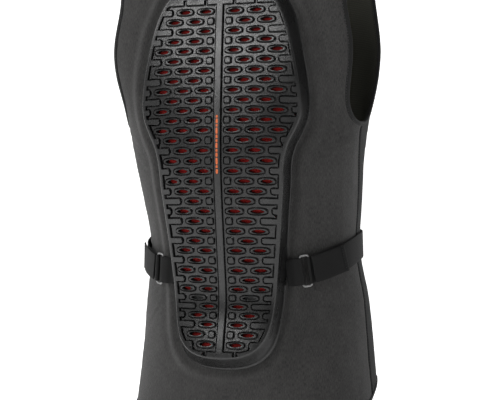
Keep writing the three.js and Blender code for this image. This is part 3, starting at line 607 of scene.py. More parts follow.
MELANGE = knit("melange_knit", grey(0.017, 0.01), grey(0.056, 0.03))
STRETCH = net("stretch_side_knit", grey(0.02), grey(0.006), cell=1.9)
LINING = net("lining_net", (0.056, 0.056, 0.042), (0.02, 0.02, 0.016), cell=2.6)
BINDING = woven("binding_tape", 0.008, warp=0.9, weft=1.3, sheen=0.04, specular=0.25)
WEBBING = woven("elastic_webbing", 0.0045, warp=1.3, weft=1.7, sheen=0.02, specular=0.22)
PLATE = rubber("plate_rubber", 0.0095, rough=0.27, specular=0.5)
FOAM = rubber("core_foam", 0.045, rough=0.8, grain=1.4)
RED = net("red_net", (0.5, 0.02, 0.016), (0.03, 0.002, 0.002), cell=1.6)
ORANGE = printed("orange_print", (0.62, 0.12, 0.02))
WIRE = metal("coated_wire", 0.16, rough=0.3)
METAL = metal("zip_metal", 0.05)
TEETH = rubber("zip_teeth_plastic", 0.016, rough=0.4, grain=0.3)
HOOK = loops_of_hook("hook_tape", 0.012)
THREAD = woven("thread", 0.018, warp=0.5, weft=0.8)

# ---------------------------------------------------------------- fabric panels

OUTLINE = np.array([
    [0, -93], [38, -94.5], [62, -99], [78, -110], [89.5, -129], [98, -153], [106, -190], [111, -222],
    [112.5, -250], [110, -270], [102, -290], [94, -306], [88, -327], [84.5, -364], [81, -393], [75, -450],
    [71.5, -492], [68, -534], [64, -560], [57.5, -578], [46, -591], [28, -598.5], [0, -601],
])


def closed_curve(points, count):
    """A centripetal Catmull-Rom curve through a closed ring of points, in even steps."""
    n = len(points)
    made = []
    for i in range(n):
        p0, p1, p2, p3 = (points[(i + k - 1) % n] for k in range(4))
        t0 = 0.0
        t1 = t0 + np.linalg.norm(p1 - p0) ** 0.5
        t2 = t1 + np.linalg.norm(p2 - p1) ** 0.5
        t3 = t2 + np.linalg.norm(p3 - p2) ** 0.5
        t = np.linspace(t1, t2, 24, endpoint=False)[:, None]
        a1 = (t1 - t) / (t1 - t0) * p0 + (t - t0) / (t1 - t0) * p1
        a2 = (t2 - t) / (t2 - t1) * p1 + (t - t1) / (t2 - t1) * p2
        a3 = (t3 - t) / (t3 - t2) * p2 + (t - t2) / (t3 - t2) * p3
        b1 = (t2 - t) / (t2 - t0) * a1 + (t - t0) / (t2 - t0) * a2
        b2 = (t3 - t) / (t3 - t1) * a2 + (t - t1) / (t3 - t1) * a3
        made.append((t2 - t) / (t2 - t1) * b1 + (t - t1) / (t2 - t1) * b2)
    curve = np.concatenate(made)
    ring = np.vstack([curve, curve[:1]])
    run = lengths(ring)
    at = np.linspace(0, run[-1], count, endpoint=False)
    return np.stack([np.interp(at, run, ring[:, k]) for k in range(2)], axis=-1)


def outward(loop):
    """Unit normals that point out of a clockwise ring of [x, z]."""
    along = unit(np.roll(loop, -1, 0) - np.roll(loop, 1, 0))
    return np.stack([-along[:, 1], along[:, 0]], axis=-1)


RIM = closed_curve(np.vstack([OUTLINE, OUTLINE[1:-1][::-1] * [-1, 1]]), 420)
RIM_OUT = outward(RIM)


def rim(grow):
    return RIM + RIM_OUT * np.asarray(grow, float).reshape(-1, 1)


def from_rim(x, z):
    """Signed distance from the rim of the plate's face, positive outside."""
    p = np.stack([np.ravel(x), np.ravel(z)], axis=-1)
    best = np.full(len(p), 1e9)
    nearest = np.zeros(len(p), int)
    for k in range(0, len(RIM), 60):
        d = np.linalg.norm(p[:, None, :] - RIM[None, k:k + 60], axis=2)
        i = d.argmin(axis=1)
        closer = d[np.arange(len(p)), i] < best
        best = np.where(closer, d[np.arange(len(p)), i], best)
        nearest = np.where(closer, i + k, nearest)
    side = np.einsum("ij,ij->i", p - RIM[nearest], RIM_OUT[nearest])
    return (best * np.sign(side)).reshape(np.shape(x))


def dent(d, place, width, depth):
    return depth * np.exp(-(((d - place) / width) ** 2))


def panel(name, start, end, bottom, top, material, slot, replaces, step=3.6, off=0.0,
          thickness=PANEL_THICKNESS, relief=None, lies_on=()):
    """A sewn panel: shares start(z) to end(z), levels bottom(share) to top, trimmed at the openings."""
    rows = int((top + 700) / step)
    v = np.linspace(0, 1, rows + 1)[:, None]
    widest = max(np.ptp([float(start(np.array([z]))[0]), float(end(np.array([z]))[0])]) * torso.girth(z)
                 for z in (-165.0, -380.0, -600.0))
    u = np.linspace(0, 1, int(widest / step) + 1)[None, :]
    foot = bottom(start(np.array([-660.0])) * (1 - u[0]) + end(np.array([-660.0])) * u[0])[None, :]
    level = foot + (top - foot) * v
    z = height_of(level)
    share = start(z) * (1 - u) + end(z) * u
    cloth = p = torso.at(share, level)
    girth = torso.girth(z)
    lift = np.full(level.shape, float(off))
    if relief:
        edge = np.minimum(np.abs(share - start(z)), np.abs(share - end(z))) * girth
        lift = lift + relief(p, edge)
    p = torso.at(share, level, lift)
    faces = grid_faces(*level.shape)
    middle = p.reshape(-1, 3)[faces].mean(axis=1)
    keep = ~in_armhole(middle, BINDING_WIDTH / 2) & ~in_neck(middle, BINDING_WIDTH / 2)
    uv = np.stack([share * girth, level], axis=-1)
    obj = make(name, p, faces[keep], uv, material=material, slot=slot, replaces=replaces)
    solidify(obj, thickness)
    return obj


def sewn(edge):
    """How a panel's surface turns in at its sewn edges."""
    return -dent(edge, 0, 1.6, 1.5) + dent(edge, 4.5, 2.4, 0.35)


def folds(p, amount=1.0):
    """Soft unevenness of fabric that holds its shape by stretch."""
    return amount * (0.8 * wave(p * [1, 1, 0.55], (120, 70), 3) + 0.25 * wave(p, (26,), 5))


# Where each crease lies sideways and in height, its tilt, its length and its depth.
CREASES = ((128, -452, 0.35, 34, 0.9), (122, -512, -0.5, 30, 0.8), (118, -535, -0.9, 34, 0.6),
           (140, -330, 0.7, 40, 0.7), (150, -300, 0.6, 36, 0.6))


def waist_folds(p):
    """Shallow creases that run in from the belt's ends, and below the arms."""
    x, z = np.abs(p[..., 0]), p[..., 2]
    total = np.zeros(x.shape)
    for x0, z0, tilt, length, depth in CREASES:
        along = (x - x0) * math.cos(tilt) + (z - z0) * math.sin(tilt)
        across = -(x - x0) * math.sin(tilt) + (z - z0) * math.cos(tilt)
        bank = np.exp(-((across - 3.5) / 3.2) ** 2) - np.exp(-(across / 2.6) ** 2)
        total += depth * np.exp(-(along / length) ** 2) * bank
    return np.where(p[..., 1] < 20, total, 0)


def back_relief(p, edge):
    d = from_rim(p[..., 0], p[..., 2])
    d = np.where(p[..., 1] < 0, d, 200)
    ridge = dent(d, 24, 6.0, 3.0) - dent(d, 14.5, 2.8, 1.1) - dent(d, 36, 4.0, 0.6)
    away = np.clip((d - 30) / 20, 0, 1)
    return ridge + (folds(p) + waist_folds(p)) * away + sewn(edge)


def share_at_front_width(z, x):
    return 1 - x / torso.girth(z) * 1.002


SEAM_HEIGHTS = np.linspace(-722, -0.3, 420)


def seam_curve(seam):
    shares = seam_share(seam, SEAM_HEIGHTS)
    return lambda z: np.interp(z, SEAM_HEIGHTS, shares)


back_edge = seam_curve(SIDE_SEAM_BACK)
front_edge = seam_curve(SIDE_SEAM_FRONT)
back_start = lambda z: -back_edge(z)
zip_edge = lambda z: share_at_front_width(z, 14.0)
hem_foot = lambda share: hem_height(share) + HEM["width"] / 2
TOP_LEVEL = float(level_of(-0.5))
SIDE_TOP = -226.0


def lining_relief(p, _):
    return folds(p, 0.4)


def front_relief(p, edge):
    return folds(p) * np.clip(edge / 30, 0, 1) + sewn(edge)


def side_relief(p, edge):
    return folds(p, 0.6) * np.clip(edge / 20, 0, 1) + waist_folds(p) * 0.6 + sewn(edge)


NET_LINING = {"step": 7, "off": -2.9, "thickness": 1.0, "relief": lining_relief}
panel("back_fabric", back_start, back_edge, hem_foot, TOP_LEVEL, MELANGE, "melange",
      ("back_panel", "plate_welt"), step=2.9, relief=back_relief, lies_on=("back_net_lining",))
panel("back_net_lining", back_start, back_edge, hem_foot, TOP_LEVEL, LINING, "lining", ("back_lining",),
      lies_on=("back_fabric",), **NET_LINING)
for side, sign in (("right", 1), ("left", -1)):
    def turned(edge, sign=sign):
        return lambda z: sign * edge(z)

    def span(first, last, sign=sign):
        ends = (turned(first), turned(last))
        return ends if sign > 0 else ends[::-1]

    panel(f"front_fabric_{side}", *span(front_edge, zip_edge), hem_foot, TOP_LEVEL, MELANGE, "melange",
          (f"front_panel_{side}",), step=4, relief=front_relief,
          lies_on=(f"side_fabric_{side}", f"zip_tape_{side}"))
    panel(f"front_net_lining_{side}", *span(front_edge, zip_edge), hem_foot, TOP_LEVEL, LINING, "lining",
          (f"front_lining_{side}",), lies_on=(f"front_fabric_{side}",), **NET_LINING)
    panel(f"side_fabric_{side}", *span(back_edge, front_edge), hem_foot, SIDE_TOP, STRETCH, "stretch",
          (f"side_panel_{side}",), step=3.6, relief=side_relief,
          lies_on=("back_fabric", f"front_fabric_{side}"))

# ---------------------------------------------------------------- bindings and stitching

STITCH = {"pitch": 4.0, "length": 2.8, "radius": 0.3}


def stitches(name, path, lift=0.1, material=THREAD, slot="binding", body="vest", **sizes):
    """A row of small thread stitches along a path of (points, normals)."""
    s = {**STITCH, **sizes}
    points, normals = dense(path, s["pitch"])
    along = unit(np.gradient(points, axis=0))
    side = unit(np.cross(normals, along))
    half, r = s["length"] / 2, s["radius"]
    ring = [(math.cos(a), math.sin(a)) for a in np.arange(5) * 2 * math.pi / 5]
    shape = [(-half, 0, -r)] + [(-half * 0.6, r * c, r * q) for c, q in ring]
    shape += [(half * 0.6, r * c, r * q) for c, q in ring] + [(half, 0, -r)]
    shape = np.array(shape)
    made = (points[:, None, :] + along[:, None, :] * shape[None, :, 0, None]
            + side[:, None, :] * shape[None, :, 1, None]
            + normals[:, None, :] * (shape[None, :, 2, None] + lift))
    faces = []
    for k in range(5):
        a, b = 1 + k, 1 + (k + 1) % 5
        faces += [[0, b, a], [a, b, b + 5, a + 5], [11, a + 5, b + 5]]
    faces = [[i * 12 + v for v in f] for i in range(len(points)) for f in faces]
    uv = np.broadcast_to(shape[None, :, :2], (len(points), 12, 2))
    return make(name, made, faces, uv, material=material, slot=slot, body=body)


def shifted(path, across, lift=0.0):
    """A path moved sideways over its surface."""
    points, normals = (np.asarray(v, float) for v in path)
    side = unit(np.cross(normals, unit(np.gradient(points, axis=0))))
    return points + side * across + normals * lift, normals


def mirror(path):
    return tuple(np.asarray(v, float) * [-1, 1, 1] for v in path)


def on_torso(share, level, lift=0.0):
    normals = torso.normal(share, level)
    return torso.read(torso.points, share, level) + normals * lift, normals


def armhole_path(margin, count=260):
    c, s = squared_circle(count, ARMHOLE["squareness"])
    z = ARMHOLE["z"] + (ARMHOLE["half_height"] + margin) * s
    y = ARMHOLE["y"] + (ARMHOLE["half_width"] + margin) * c
    return on_torso(torso.share_at_depth(z, y), level_of(z))


def neck_path(margin):
    """Along the neck's edge from the back's middle round to the zip."""
    last = 1 - 15.5 / torso.girth(-100.0)
    shares = np.linspace(0, last, 150)
    levels = np.arange(-118, TOP_LEVEL - 1, 0.25)
    found = []
    for share in shares:
        p = torso.at(share, levels)
        hit = np.nonzero(np.abs(p[:, 0]) < neck_width(p[:, 2], p[:, 1] > -5, margin))[0]
        found.append(levels[hit[0]] if len(hit) else levels[-1])
    found = np.array(found)
    padded = np.concatenate([found[6:0:-1], found, np.repeat(found[-1], 6)])
    found = np.convolve(padded, np.ones(7) / 7, mode="same")[6:-6]
    points, normals = on_torso(shares, found)
    return (np.concatenate([points[:0:-1] * [-1, 1, 1], points]),
            np.concatenate([normals[:0:-1] * [-1, 1, 1], normals]))


def hem_path():
    stop = float(zip_edge(np.array([HEM["front"]]))[0])
    shares = np.linspace(-stop, stop, 420)
    return on_torso(shares, hem_foot(shares))


EDGE = rounded(BINDING_WIDTH, -3.8, 1.3, 22)
HEM_EDGE = rounded(5.4, -3.8, 1.3, 22)
arm = dense(armhole_path(BINDING_WIDTH / 2), 3.0)
arm_ring = tuple(v[:-1] for v in arm)
for side, ring in (("right", arm_ring), ("left", mirror(arm_ring))):
    make(f"armhole_edging_{side}", *sweep(*ring, EDGE, closed=True), material=BINDING, slot="binding",
         replaces=(f"armhole_binding_{side}",))
    stitches(f"armhole_stitches_{side}", shifted(ring, -2.2 if side == "right" else 2.2), lift=1.2)
neck = dense(neck_path(BINDING_WIDTH / 2), 3.0)
make("neck_edging", *sweep(*neck, EDGE), material=BINDING, slot="binding", replaces=("neck_binding",))
stitches("neck_stitches", shifted(neck, 2.2), lift=1.2)
hem = hem_path()
make("hem_edging", *sweep(*hem, HEM_EDGE), material=BINDING, slot="binding", replaces=("hem_binding",))
stitches("hem_stitches", shifted(hem, 1.6), lift=1.1)


def seam_path(edge, low, high, across):
    z = np.linspace(low, high, 160)
    share = edge(z) + across / torso.girth(z)
    return on_torso(share, level_of(z))


for side in ("right", "left"):
    flip = (lambda path: path) if side == "right" else mirror
    for name, edge, low, high in (("back", back_edge, -668, -283), ("front", front_edge, -648, -232),
                                  ("shoulder", back_edge, -33, -9)):
        for row, across in (("inner", -2.6), ("outer", 2.6)):
            stitches(f"{name}_seam_{row}_{side}", flip(seam_path(edge, low, high, across)), lift=0.15)

for name, grow in (("inner", 14.5), ("outer", 35.0)):
    ring = rim(grow)
    ring = np.vstack([ring, ring[:1]])
    normals = unit(over_back(ring[:, 0], ring[:, 1], 1.0) - over_back(ring[:, 0], ring[:, 1], 0.0))
    stitches(f"ridge_stitches_{name}", (over_back(ring[:, 0], ring[:, 1], -0.5), normals), lift=0.0)

# ---------------------------------------------------------------- the moulded plate

FACE, FLOOR, NET = 21.0, 18.4, 13.7
ROW_PITCH, FIRST_ROW, ROWS, ROW_HALF = 13.45, -126.0, 35, 3.9
OVAL_PITCH, OVAL_HALF = 30.7, 12.0
FIRST_OVAL = (21.3, 36.65)
BLOCK = (9.4, 17.6)
GROOVE = [(0.0, -3.0), (1.1, -3.4), (1.9, 0.0)]  # beside every raised edge: how far out, and how deep
GROOVE_WIDTH = GROOVE[-1][0]
END_SLOTS = ((18.8, 23.2), (49.8, 54.2))
FRAME_WIDTH = 4.5
CHANNEL = ROW_PITCH - 2 * ROW_HALF
SPINE = {"right": 4.2, "left": 5.2}
PLATE_TOP = FIRST_ROW + ROW_HALF + CHANNEL
PLATE_BOTTOM = FIRST_ROW - (ROWS - 1) * ROW_PITCH - ROW_HALF - CHANNEL


def half_width_at(z, grow):
    ring = rim(grow)
    side = ring[(ring[:, 0] > 0)]
    order = np.argsort(side[:, 1])
    return np.interp(z, side[order, 1], side[order, 0])


def oval(x, z, half, high, count=36, squareness=2.7):
    c, s = squared_circle(count, squareness)
    return np.stack([x + half * c, z + high * s], axis=-1)


def slit(x, z, half, high, count=36):
    t = np.arange(count) / count * 2 * math.pi
    return np.stack([x + half * np.cos(t), z + high * np.sin(t) * np.abs(np.sin(t)) ** 0.35], axis=-1)


def relief_rows():
    """Each row's raised islands (x from, x to) on one side, and where its tab starts, if it has one."""
    found = []
    for i in range(ROWS):
        z = FIRST_ROW - i * ROW_PITCH
        inner = float(half_width_at(z, -FRAME_WIDTH))
        islands = [] if i % 2 == 0 else [BLOCK]
        centre = FIRST_OVAL[i % 2]
        tab = None
        limit = inner - 2 * GROOVE_WIDTH - 0.2
        while centre - OVAL_HALF < inner - 3:
            if centre + OVAL_HALF < limit + 3:
                islands.append((centre - OVAL_HALF, min(centre + OVAL_HALF, limit)))
            else:
                tab = centre - OVAL_HALF
                break
            centre += OVAL_PITCH
        found.append((z, islands, tab))
    return found


def along_line(a, b, step=4.0):
    n = max(int(np.hypot(b[0] - a[0], b[1] - a[1]) / step), 1)
    t = np.arange(n)[:, None] / n
    return np.array(a) * (1 - t) + np.array(b) * t


def floor_ring(rows, spine):
    """The floor's edge on one side: along the frame with its tabs, and back up beside the spine."""
    inner = lambda z: float(half_width_at(z, -FRAME_WIDTH))
    corners = [(spine, PLATE_TOP), (inner(PLATE_TOP) - 2.5, PLATE_TOP),
               (inner(PLATE_TOP - 2.5), PLATE_TOP - 2.5)]
    for z, _, tab in rows:
        high, low = z + ROW_HALF, z - ROW_HALF
        corners.append((inner(high), high))
        if tab:
            corners.append((tab + 3.6, high))
            for a in np.linspace(math.pi / 2, 1.5 * math.pi, 9)[1:-1]:
                c, s = (math.copysign(abs(v) ** 0.75, v) for v in (math.cos(a), math.sin(a)))
                corners.append((tab + 3.6 + 3.6 * c, z + ROW_HALF * s))
            corners.append((tab + 3.6, low))
        else:
            corners.append((inner(z), z))
        corners.append((inner(low), low))
    end = PLATE_BOTTOM
    corners += [(inner(end + 2.5), end + 2.5), (inner(end) - 3, end)]
    for x0, x1 in END_SLOTS[::-1]:
        if x1 < inner(end) - 8:
            corners += [(x1, end), (x1 - 0.2, end - 5.5), (x0 + 0.2, end - 5.5), (x0, end)]
    corners.append((spine, end))
    start = [(x, z) for x0, x1 in END_SLOTS for x, z in ((x0, PLATE_TOP), (x0 + 0.2, PLATE_TOP + 7),
                                                        (x1 - 0.2, PLATE_TOP + 7), (x1, PLATE_TOP))]
    corners[1:1] = start
    return np.vstack([along_line(a, b) for a, b in zip(corners, corners[1:] + corners[:1])])


def inside_count(p, loops):
    """How many of the rings each point lies in."""
    total = np.zeros(len(p), int)
    for ring in loops:
        a, b = ring, np.roll(ring, -1, 0)
        near = np.nonzero((p[:, 0] > ring[:, 0].min()) & (p[:, 0] < ring[:, 0].max())
                          & (p[:, 1] > ring[:, 1].min()) & (p[:, 1] < ring[:, 1].max()))[0]
        if not len(near):
            continue
        x, y = p[near, 0][:, None], p[near, 1][:, None]
        crosses = (a[None, :, 1] > y) != (b[None, :, 1] > y)
        dy = np.where(np.abs(b[:, 1] - a[:, 1]) < 1e-12, 1e-12, b[:, 1] - a[:, 1])[None, :]
        hit = crosses & (x < (b[None, :, 0] - a[None, :, 0]) * (y - a[None, :, 1]) / dy + a[None, :, 0])
        total[near] += hit.sum(axis=1) % 2
    return total


class Relief:
    """Collects the plate's surface as points [x, z, height off the vest] and faces."""

    def __init__(self):
        self.points, self.faces, self.count = [], [], 0

    def ring(self, loop, off):
        start = self.count
        off = np.broadcast_to(np.asarray(off, float), (len(loop),))
        self.points.append(np.column_stack([loop, off]))
        self.count += len(loop)
        return np.arange(start, self.count)

    def wall(self, lower, upper):
        a, b = np.roll(lower, -1), np.roll(upper, -1)
        self.faces += np.stack([lower, a, b, upper], axis=-1).tolist()

    def fill(self, loops, rings, inside):
        """Triangles where a point lies in that many of the loops. rings hold the corner numbers."""
        flat = np.vstack(loops)
        number = np.concatenate(rings)
        edges, start = [], 0
        for loop in loops:
            n = len(loop)
            edges += [(start + i, start + (i + 1) % n) for i in range(n)]
            start += n
        verts, _, faces, source, _, _ = delaunay_2d_cdt([tuple(v) for v in flat], edges, [], 0, 1e-6)
        back = [number[s[0]] if s else -1 for s in source]
        verts = np.array([tuple(v) for v in verts])
        faces = np.array([f for f in faces if len(f) == 3])
        middle = verts[faces].mean(axis=1)
        for f in faces[inside_count(middle, loops) == inside]:
            corners = [back[i] for i in f]
            if -1 not in corners:
                self.faces.append([int(c) for c in corners])


def grown(loop, d):
    return loop + outward(loop) * d


relief = Relief()
rows = relief_rows()
top_loops, top_rings = [], []
for side, sign in (("right", 1), ("left", -1)):
    ring = floor_ring(rows, SPINE[side])
    if sign < 0:
        ring = (ring * [-1, 1])[::-1]
    islands = []
    for z, spans, _ in rows:
        for x0, x1 in spans:
            x, half = (x0 + x1) / 2 * sign, (x1 - x0) / 2
            shape = 2.7 if half > 9 else 3.4
            outer = [(oval(x, z, half + out, ROW_HALF + out, squareness=shape), FLOOR + deep)
                     for out, deep in GROOVE]
            inner = [(oval(x, z, half - d, ROW_HALF - d, squareness=shape), off)
                     for d, off in ((0.1, FACE - 0.7), (0.75, FACE - 0.05))]
            *groove, b, c = [relief.ring(*r) for r in outer[::-1] + inner]
            for lower, upper in zip(groove + [b], groove[1:] + [b, c]):
                relief.wall(lower, upper)
            islands.append((outer[-1][0], groove[0]))
            if half > 9:
                d = relief.ring(slit(x, z, half - 2.9, 2.95), FACE - 0.1)
                e = relief.ring(slit(x, z, half - 3.4, 2.5), FACE - 0.8)
                f = relief.ring(slit(x, z, half - 3.7, 2.3), NET - 0.3)
                relief.wall(c, d)
                relief.wall(d, e)
                relief.wall(e, f)
            else:
                relief.faces.append(c.tolist())
    sunk = [relief.ring(grown(ring, -out), FLOOR + deep) for out, deep in GROOVE]
    edge_ring = relief.ring(grown(ring, 0.15), FACE - 0.7)
    top_ring = relief.ring(grown(ring, 0.8), FACE)
    for lower, upper in zip([top_ring, edge_ring] + sunk, [edge_ring] + sunk):
        relief.wall(lower, upper)
    holes, hole_rings = zip(*islands)
    relief.fill([grown(ring, -GROOVE_WIDTH), *holes], [sunk[-1], *hole_rings], 1)
    top_loops.append(grown(ring, 0.8))
    top_rings.append(top_ring)

drop = ease(np.clip((-RIM[:, 1] - 540) / 60, 0, 1))
flank = [(-1.6, FACE), (-0.7, FACE - 0.2), (0.0, FACE - 0.75), (0.45, FACE - 1.7)]
flank += [(0.45 + 9.0 * t, (FACE - 1.7) * (1 - t) + 0.4 * t - 1.1 * math.sin(t * math.pi))
          for t in np.linspace(0.1, 0.94, 8)]
flank += [(9.5, 0.9), (10.3, 0.1), (10.2, -0.8)]
flank_rings = [relief.ring(rim(g + 3.0 * drop * max(g, 0) / 9.5), off) for g, off in flank]
relief.fill([rim(flank[0][0]), *top_loops], [flank_rings[0], *top_rings], 1)
for upper, lower in zip(flank_rings, flank_rings[1:]):
    relief.wall(upper, lower)

flat = np.vstack(relief.points)
shell_points = over_back(flat[:, 0], flat[:, 1], flat[:, 2])
plate = make("moulded_plate", shell_points, relief.faces, flat[:, :2], material=PLATE, slot="plate",
             replaces=("plate_shell",), sharp=38)
plate.data.flip_normals()

x = np.linspace(-112, 112, 90)
z = np.linspace(-606, -90, 200)
x, z = np.meshgrid(x, z)
net_faces = grid_faces(*x.shape)
middle = np.stack([x.ravel()[net_faces].mean(axis=1), z.ravel()[net_faces].mean(axis=1)], axis=-1)
net_points = over_back(x, z, NET + 0.12 * np.sin(x * 2 * math.pi / 7) * np.sin(z * 2 * math.pi / 9))
make("red_vent_net", net_points, net_faces[from_rim(middle[:, 0], middle[:, 1]) < -3.4],
     np.stack([x, z], axis=-1), material=RED, slot="redMesh", replaces=("vent_mesh",))

marks, mark_faces = [], []
place = -267.5
for k, size in enumerate((3.4, 6.2, 3.4, 8.0, 4.6, 3.4, 6.8, 3.4, 5.2, 8.4, 3.4, 6.0)):
    ring = oval(-0.3, place - size / 2, 1.55, size / 2, 20, 4)
    for grow, off in ((0, FACE - 0.3), (0, FACE + 0.22), (-0.25, FACE + 0.38)):
        marks.append(over_back(-0.3 + (ring[:, 0] + 0.3) * (1 + grow / 1.55), ring[:, 1], off))
    start = k * 60
    mark_faces += [[start + r * 20 + i, start + r * 20 + (i + 1) % 20, start + r * 20 + 20 + (i + 1) % 20,
                    start + r * 20 + 20 + i] for r in range(2) for i in range(20)]
    mark_faces.append([start + 40 + i for i in range(20)])
    place -= size + 1.35
make("orange_marks", np.vstack(marks), mark_faces, material=ORANGE, slot="orange",
     replaces=("spine_marks",), sharp=40)
plate_core = frame["nodes"]["plate_core"]
plate_core.data.materials.clear()
plate_core.data.materials.append(FOAM)

# ---------------------------------------------------------------- the belt

BELT_RISE = np.array([
    [80, -479], [105, -478.5], [125, -474.5], [145, -468], [165, -461.5], [185, -455], [209, -448.5],
    [235, -444.5], [260, -442.5], [310, -440]])
WEB = {"width": 37, "half": 0.75, "wire": 1.4, "lay": 3.5, "ring_height": 8.2, "ring_half": 21.1}
BAR_LAY = WEB["wire"] + 0.4 + WEB["half"]


def on_belt(run, off, side=0.0):
    z = smooth(BELT_RISE, run) + side
    return on_torso(run / torso.girth(z), level_of(z), np.asarray(off, float)[..., None])


def joint(name):
    return next(j for j in frame["joints"] if j["name"] == name)


in_bar = np.array(joint("belt_ring_right_hinge")["pos_m"]) / MM
out_bar = np.array(joint("belt_tab_right_hinge")["pos_m"]) / MM
UP = -np.array(joint("belt_ring_right_hinge")["axis"])
ALONG = unit(out_bar - in_bar)
OUT = np.cross(ALONG, UP)


def square_to_ring(points):
    """Points moved along the ring's bars until they lie level with the ring's middle."""
    return points - np.outer((points - in_bar) @ UP, UP)


def round_bar(bar, angles):
    a = np.radians(angles)[:, None]
    return bar + ALONG * BAR_LAY * np.cos(a) + OUT * BAR_LAY * np.sin(a)


def web_path(points):
    return points, unit(np.cross(np.gradient(points, axis=0), UP))


def smooth_route(route, count):
    route = np.array(route, float)
    run = np.linspace(route[0, 0], route[-1, 0], count)
    return run, smooth(route, run)


def belt_side(side):
    flip = (lambda v: v) if side == "right" else (lambda v: v * np.array([-1, 1, 1]))

    def sided(name, swept, **said):
        points, faces, uv = swept
        if side == "left":
            faces = [f[::-1] for f in faces]
        return make(name, flip(points), faces, uv, **said)

    def webbing(name, path, body, replaces=(), profile=None, material=WEBBING, slot="webbing"):
        if profile is None:
            profile = band(WEB["width"], -WEB["half"], WEB["half"])
        return sided(name, sweep(*path, profile), material=material, slot=slot, body=body, replaces=replaces)

    def thread(name, path, body, lift):
        points, normals = path
        return stitches(name, (flip(points), flip(normals)), lift=lift, body=body, pitch=3.2, length=2.3,
                        radius=0.26, slot="webbing")

    def across(path, at, inset=2.5):
        """A line straight across a webbing, a share of the way along it."""
        points, normals = path
        i = int(at * (len(points) - 1))
        along = unit(points[min(i + 1, len(points) - 1)] - points[max(i - 1, 0)])
        cross = unit(np.cross(normals[i], along))
        t = np.linspace(-1, 1, 20)[:, None] * (WEB["width"] / 2 - inset)
        return points[i] + cross * t, np.repeat(normals[i][None, :], 20, axis=0)

    under, over = WEB["ring_height"] - BAR_LAY, WEB["ring_height"] + BAR_LAY
    low, high = (square_to_ring(on_belt(*smooth_route(route, 16))[0]) for route in (
        [(83.5, 1.2), (89, 2.6), (94, 4.6), (99, under + 0.1), (102, under)],
        [(83.5, 2.9), (89, 4.6), (94, 8.2), (99, over - 0.5), (102, over)]))
    high = high[::-1]
    loop = web_path(np.concatenate([low[:-1], round_bar(in_bar, np.linspace(-90, 90, 17)), high[1:]]))
    webbing(f"belt_loop_webbing_{side}", loop, "vest", (f"belt_loop_{side}",))
    thread(f"belt_loop_stitches_{side}", across(loop, 0.93), "vest", 0.75)
    thread(f"belt_loop_stitches_outer_{side}", across(loop, 0.985), "vest", 0.75)

    corner, u, h = 2.6, (in_bar, out_bar), WEB["ring_half"]
    wire = []
    for bar, up, turn in ((1, 1, 0), (0, 1, 90), (0, -1, 180), (1, -1, 270)):
        centre = u[bar] + ALONG * (corner if bar == 0 else -corner) + UP * up * (h - corner)
        for a in np.radians(np.linspace(turn, turn + 90, 9)):
            wire.append(centre + ALONG * corner * math.cos(a) + UP * corner * math.sin(a))
    wire = dense((np.array(wire + wire[:1]), np.repeat(OUT[None, :], len(wire) + 1, axis=0)), 1.2)
    sided(f"belt_ring_wire_{side}",
          sweep(wire[0][:-1], wire[1][:-1], rounded(2.8, -1.4, 1.4, 14, 2.0), closed=True),
          material=WIRE, slot="wire", body=f"belt_ring_{side}", replaces=(f"belt_ring_{side}",))

    run, off = smooth_route([
        (119, under), (127, 5.8), (140, 6.0), (152, 6.0), (168, 5.5), (180, 4.5), (194, 3.6),
        (210, WEB["lay"]), (228, WEB["lay"]), (305, WEB["lay"])], 90)
    lying = on_belt(run, off)
    turn = round_bar(out_bar, np.linspace(66, 270, 19))
    start = square_to_ring(on_belt(np.array([116.5, 118.0]), np.array([under, under]))[0])
    points = np.concatenate([turn, start[:1], lying[0]])
    up = unit(on_belt(run, off, 8.0)[0] - on_belt(run, off, -8.0)[0])
    ups = np.concatenate([np.repeat(UP[None, :], len(turn) + 1, axis=0), up])
    blend_in = np.clip((np.arange(len(points)) - len(turn)) / 14, 0, 1)[:, None]
    ups = unit(UP * (1 - blend_in) + ups * blend_in)
    strap_path = (points, unit(np.cross(np.gradient(points, axis=0), ups)))
    strap = webbing(f"belt_strap_webbing_{side}", strap_path, None, (f"belt_strap_{side}",))
    near, far = (flip(on_belt(np.array([r]), np.array([6.0]))[0][0]) * MM for r in (118.0, 146.0))
    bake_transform(strap)

    run, off = smooth_route([
        (118.7, over - 0.1), (121, over - 0.3), (127, 10.0), (135, 9.5), (146, 9.4), (157, 9.3),
        (167, 9.2)], 40)
    lift = on_belt(run, off)
    up = unit(on_belt(run, off, 8.0)[0] - on_belt(run, off, -8.0)[0])
    tab_path = (lift[0], unit(np.cross(np.gradient(lift[0], axis=0), up)))
    tab_body = f"belt_tab_{side}"
    webbing(f"belt_tab_webbing_{side}", tab_path, tab_body, (f"belt_tab_{side}",))
    end = tuple(v[-5:] for v in tab_path)
    webbing(f"belt_tab_end_{side}", end, tab_body, profile=band(WEB["width"] + 0.6, 0.6, 1.5, corner=0.4))
    for at in (0.905, 0.985):
        thread(f"belt_tab_stitches_{int(at * 100)}_{side}", across(tab_path, at, 1.8), tab_body, 1.5)
    hook = tuple(v[14:36] for v in tab_path)
    webbing(f"belt_hook_tape_{side}", hook, tab_body, (f"belt_hook_{side}",),
            band(33, -1.75, -0.95, corner=0.3), HOOK, "hook")

    patch_run = np.linspace(279, 309, 12)
    anchor = on_belt(patch_run, np.full(12, WEB["lay"] + 1.1))
    sided(f"belt_anchor_patch_{side}", sweep(*anchor, band(45, 0, 1.0, corner=0.4)), material=BINDING,
          slot="binding", replaces=(f"belt_anchor_{side}",))
    for at in (0.06, 0.94):
        thread(f"belt_anchor_stitches_{int(at * 100)}_{side}", across(anchor, at, -1.5), "vest", 1.05)


belt_side("right")
belt_side("left")

# ---------------------------------------------------------------- the zip and the hanger loop

